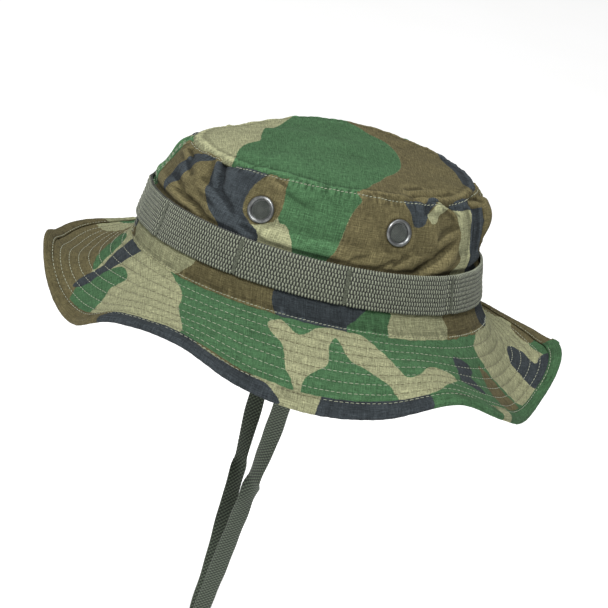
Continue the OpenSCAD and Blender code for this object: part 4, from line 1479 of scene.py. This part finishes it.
def tubes(name, paths, radius, sides=5):
    """Round wires along paths of points."""
    verts, faces, start = [], [], 0
    for path in paths:
        run = unit(np.gradient(path, axis=0))
        side = unit(np.cross(run, [0, 0, 1.0]))
        up = np.cross(side, run)
        angle = np.arange(sides) * 2 * math.pi / sides
        p = path[:, None] + radius * (side[:, None] * np.cos(angle)[None, :, None]
                                      + up[:, None] * np.sin(angle)[None, :, None])
        verts.append(p.reshape(-1, 3))
        faces.append(tube_quads(len(path), sides) + start)
        start += len(path) * sides
    return add_object(name, np.concatenate(verts), np.concatenate(faces))


def make_vent(name, angle, level):
    place = on_wall(angle, level)
    eye = lathe("eyelet_" + name + "_ring", rounded(EYELET, 0.35), place)
    dress(eye, GUNMETAL, replaces=["eyelet_" + name])
    washer = lathe("vent_washer_" + name + "_ring", rounded(WASHER, 0.3), place)
    dress(washer, GUNMETAL, replaces=["vent_washer_" + name])
    paths = []
    count = int(SCREEN_RADIUS / WIRE_PITCH)
    for axis in (0, 1):
        for k in range(-count, count + 1):
            off = k * WIRE_PITCH
            half = math.sqrt(SCREEN_RADIUS ** 2 - off ** 2)
            s = np.linspace(-half, half, max(int(half / WIRE_PITCH * 12), 8))
            wave = np.cos(math.pi * (s / WIRE_PITCH + k + axis)) * WIRE_RADIUS + SCREEN_Z
            aside = np.full_like(s, off)
            paths.append(np.stack((aside, s, wave) if axis else (s, aside, wave), 1))
    screen = tubes("vent_screen_" + name + "_mesh", paths, WIRE_RADIUS)
    join(screen, lathe("screen_frame", rounded(SCREEN_FRAME, 0.1), Matrix.Identity(4)))
    screen.data.transform(place)
    dress(screen, WIRE, replaces=["vent_screen_" + name])


def join(obj, other):
    bm = bmesh.new()
    bm.from_mesh(obj.data)
    bm.from_mesh(other.data)
    bm.to_mesh(obj.data)
    bm.free()
    bpy.data.objects.remove(other)


for vent_name, (vent_angle, vent_level) in VENTS.items():
    make_vent(vent_name, vent_angle, vent_level)

# ---------------------------------------------------------------- sewing

TURN_STEP = 0.4


def round_angles(start=0.0, end=360.0):
    return np.arange(start, end + TURN_STEP / 2, TURN_STEP)


def on_tan(fields):
    """1 where the cloth under a stitch is tan, and 0 where it is a darker colour."""
    return ((fields[..., 3] < 0) | (fields[..., :3] > 0).all(-1)).astype(float)


def brim_row(u, top):
    t = round_angles()
    u = np.full(len(t), u)
    return *brim_face(t, u, top), on_tan(brim_print(t, u, top))


def binding_row(top):
    t = round_angles()
    u = np.full(len(t), BINDING_SEAT)
    tone = on_tan(binding_print(t + (0 if top else BINDING_UNDER_TURN), u))
    return brim(t, u, 1.72 if top else -1.9), brim_out(t, u) * (1 if top else -1), tone


def wall_line(t, v, lift):
    """A line of stitches on the wall."""
    return wall_at(t, v, 0, wall_shape(t, v) + lift), wall_out(t, v), on_tan(wall_print(t, v))


def wall_row(v, lift):
    t = round_angles()
    return wall_line(t, np.full(len(t), v), lift)


def upright_rows(angle):
    v = np.linspace(0.03, 0.93, 160)
    return [wall_line(np.full(160, angle + side / MM_PER_DEG), v, 0.42)
            for side in (-2.4, 2.4, 5.6)]


def inside_row(v, inward, *ends):
    t = round_angles(*ends)
    v = np.full(len(t), v)
    return wall_at(t, v, inward), -wall_out(t, v), 0 * t + 0.3


quilt = [(QUILT_FIRST + k * QUILT_PITCH) / BRIM_WIDTH for k in range(QUILT_COUNT)]
quilt = [u for u in quilt if u < BINDING_SHARE - 0.02]
sew("brim_upper_stitches", [brim_row(u, True) for u in quilt], (3.1, 2.3, 0.38, 0.36))
sew("brim_lower_stitches", [brim_row(u, False) for u in quilt], (3.1, 2.3, 0.38, 0.36))
sew("binding_stitches", [binding_row(True), binding_row(False)], (2.9, 2.1, 0.4, 0.38))
sew("crown_seam_stitches", [wall_row(TOP_ROW, 0.1), wall_row(0.026, 0.5)], (2.3, 1.65, 0.4, 0.4),
    slant=0.16)
sew("crown_join_stitches", upright_rows(90) + upright_rows(270), (2.9, 2.1, 0.38, 0.36))
sew("sweatband_stitches",
    [inside_row(v, SWEATBAND_IN + 1.2) for v in (0.350, 0.345, 0.045)]
    + [inside_row(v, LABEL_IN + 0.5, 83, 97) for v in (0.132, 0.268)],
    (2.8, 2.2, 0.45, 0.4), OLIVE_THREAD)

# ---------------------------------------------------------------- cord ends and keeper


ANCHOR_AT = (79, -5, 0.9)
ANCHOR_SEAM = [(-5.2, -1.1), (5.2, -1.1), (5.2, 1.1), (-5.2, 1.1), (-5.2, -1.1), (5.2, 1.1)]


def make_anchor(name, side):
    """A folded tab of tape that holds the end of the lace, sewn with a crossed box."""
    name = "cord_anchor_" + name
    at = np.array(ANCHOR_AT) * [side, 1, 1]
    y, z = np.meshgrid(np.linspace(-6.5, 6.5, 27), np.linspace(-1.65, 1.65, 9), indexing="ij")
    puff = 0.25 * np.cos(y / 6.5 * math.pi / 2) + 0.08 * np.cos(y * 2.2) * np.cos(z * 2)
    outer, inner = stack_xyz(0.85 + puff, y, z), stack_xyz(-0.85 - puff, y, z)
    if side < 0:
        outer, inner = outer[:, ::-1] * [-1, 1, 1], inner[:, ::-1] * [-1, 1, 1]
    obj = shell(name + "_tab", outer, inner, np.stack([y, z], -1))
    obj.data.transform(Matrix.Translation(Vector(at) * MM))
    dress(obj, TAPE_COTTON, replaces=[name])
    rows = []
    for a, b in zip(ANCHOR_SEAM, ANCHOR_SEAM[1:]):
        y, z = np.linspace(a, b, 12).T
        points = at + stack_xyz(-side * 1.1, y, z)
        rows.append((points, np.tile([-side * 1.0, 0, 0], (12, 1)), np.full(12, 0.3)))
    sew(name + "_stitches", rows, (1.6, 1.3, 0.35, 0.3), OLIVE_THREAD)


make_anchor("left", 1)
make_anchor("right", -1)

KEEPER_AT, KEEPER_SIZE = (0, -10, -228), (28, 17, 4)
KEEPER_SLOT, KEEPER_SLOT_X = (3.6, 11.8), 7


def round_box(size, radius, at_x, steps):
    """Outline of a box with round corners, as (x, y)."""
    points = []
    for k, (sx, sy) in enumerate([(1, 1), (-1, 1), (-1, -1), (1, -1)]):
        for f in np.linspace(0, 90, steps):
            a = (k * 90 + f) * DEG
            points.append((at_x + sx * (size[0] / 2 - radius) + radius * math.cos(a),
                           sy * (size[1] / 2 - radius) + radius * math.sin(a)))
    return points


def make_keeper():
    """Leather slide with two slots: an outline with holes, thickened with soft edges."""
    soft = 0.6
    data = bpy.data.curves.new("keeper_outline", "CURVE")
    data.dimensions, data.fill_mode = "2D", "BOTH"
    data.extrude, data.bevel_depth = (KEEPER_SIZE[2] / 2 - soft) * MM, soft * MM
    data.bevel_resolution, data.offset = 3, -soft * MM
    outlines = [round_box(KEEPER_SIZE, 8.49, 0, 18)]
    outlines += [round_box(KEEPER_SLOT, 1.2, at_x, 6) for at_x in (-KEEPER_SLOT_X, KEEPER_SLOT_X)]
    for points in outlines:
        spline = data.splines.new("POLY")
        spline.points.add(len(points) - 1)
        spline.points.foreach_set("co", [c for x, y in points for c in (x * MM, y * MM, 0, 1)])
        spline.use_cyclic_u = True
    source = link("keeper_source", data)
    bpy.context.view_layer.update()
    solid = source.evaluated_get(bpy.context.evaluated_depsgraph_get())
    mesh = bpy.data.meshes.new_from_object(solid)
    bpy.data.objects.remove(source)
    obj = link("cord_keeper_leather", mesh)
    weld(obj)
    mesh.shade_smooth()
    mesh.transform(Matrix.Translation(Vector(KEEPER_AT) * MM))
    dress(obj, LEATHER, "keeper", ["cord_keeper"])


make_keeper()

# ---------------------------------------------------------------- stage and light


def area_light(name, place, size, power):
    """A round light that points at the hat."""
    data = bpy.data.lights.new(name, "AREA")
    data.shape, data.size, data.energy = "DISK", size, power
    light = link(name, data)
    light.location = place
    light.rotation_euler = (-Vector(place)).to_track_quat("-Z", "Y").to_euler()


FLOOR_HALF, FLOOR_Z = 40000, -387


def make_stage():
    corners = [(x * FLOOR_HALF, y * FLOOR_HALF, FLOOR_Z)
               for x, y in ((-1, -1), (1, -1), (1, 1), (-1, 1))]
    floor = add_object("floor", corners, np.array([[0, 1, 2, 3]]))
    floor.data.materials.append(floor_finish("floor_paper"))
    world = bpy.data.worlds.new("studio")
    world.use_nodes = True
    tree = world.node_tree
    background = tree.nodes["Background"]
    background.inputs["Color"].default_value = (1, 1, 1, 1)
    # Brighter overhead than at the horizon
    sky = tree.nodes.new("ShaderNodeTexCoord")
    split = tree.nodes.new("ShaderNodeSeparateXYZ")
    height = tree.nodes.new("ShaderNodeMapRange")
    for key, value in (("From Min", -0.1), ("From Max", 0.9), ("To Min", 0.17), ("To Max", 0.6)):
        height.inputs[key].default_value = value
    tree.links.new(sky.outputs["Generated"], split.inputs[0])
    tree.links.new(split.outputs["Z"], height.inputs["Value"])
    # The backdrop itself is white, while it lights the hat by the gradient
    seen = tree.nodes.new("ShaderNodeLightPath")
    level = tree.nodes.new("ShaderNodeMix")
    level.inputs["B"].default_value = 0.94
    tree.links.new(seen.outputs["Is Camera Ray"], level.inputs["Factor"])
    tree.links.new(height.outputs[0], level.inputs["A"])
    tree.links.new(level.outputs["Result"], background.inputs["Strength"])
    bpy.context.scene.world = world
    area_light("key", (1.45, -0.6, 1.6), 0.6, 54)
    area_light("top", (0.0, 0.1, 1.9), 0.9, 12)
    bpy.context.scene.view_settings.view_transform = "Standard"


make_stage()
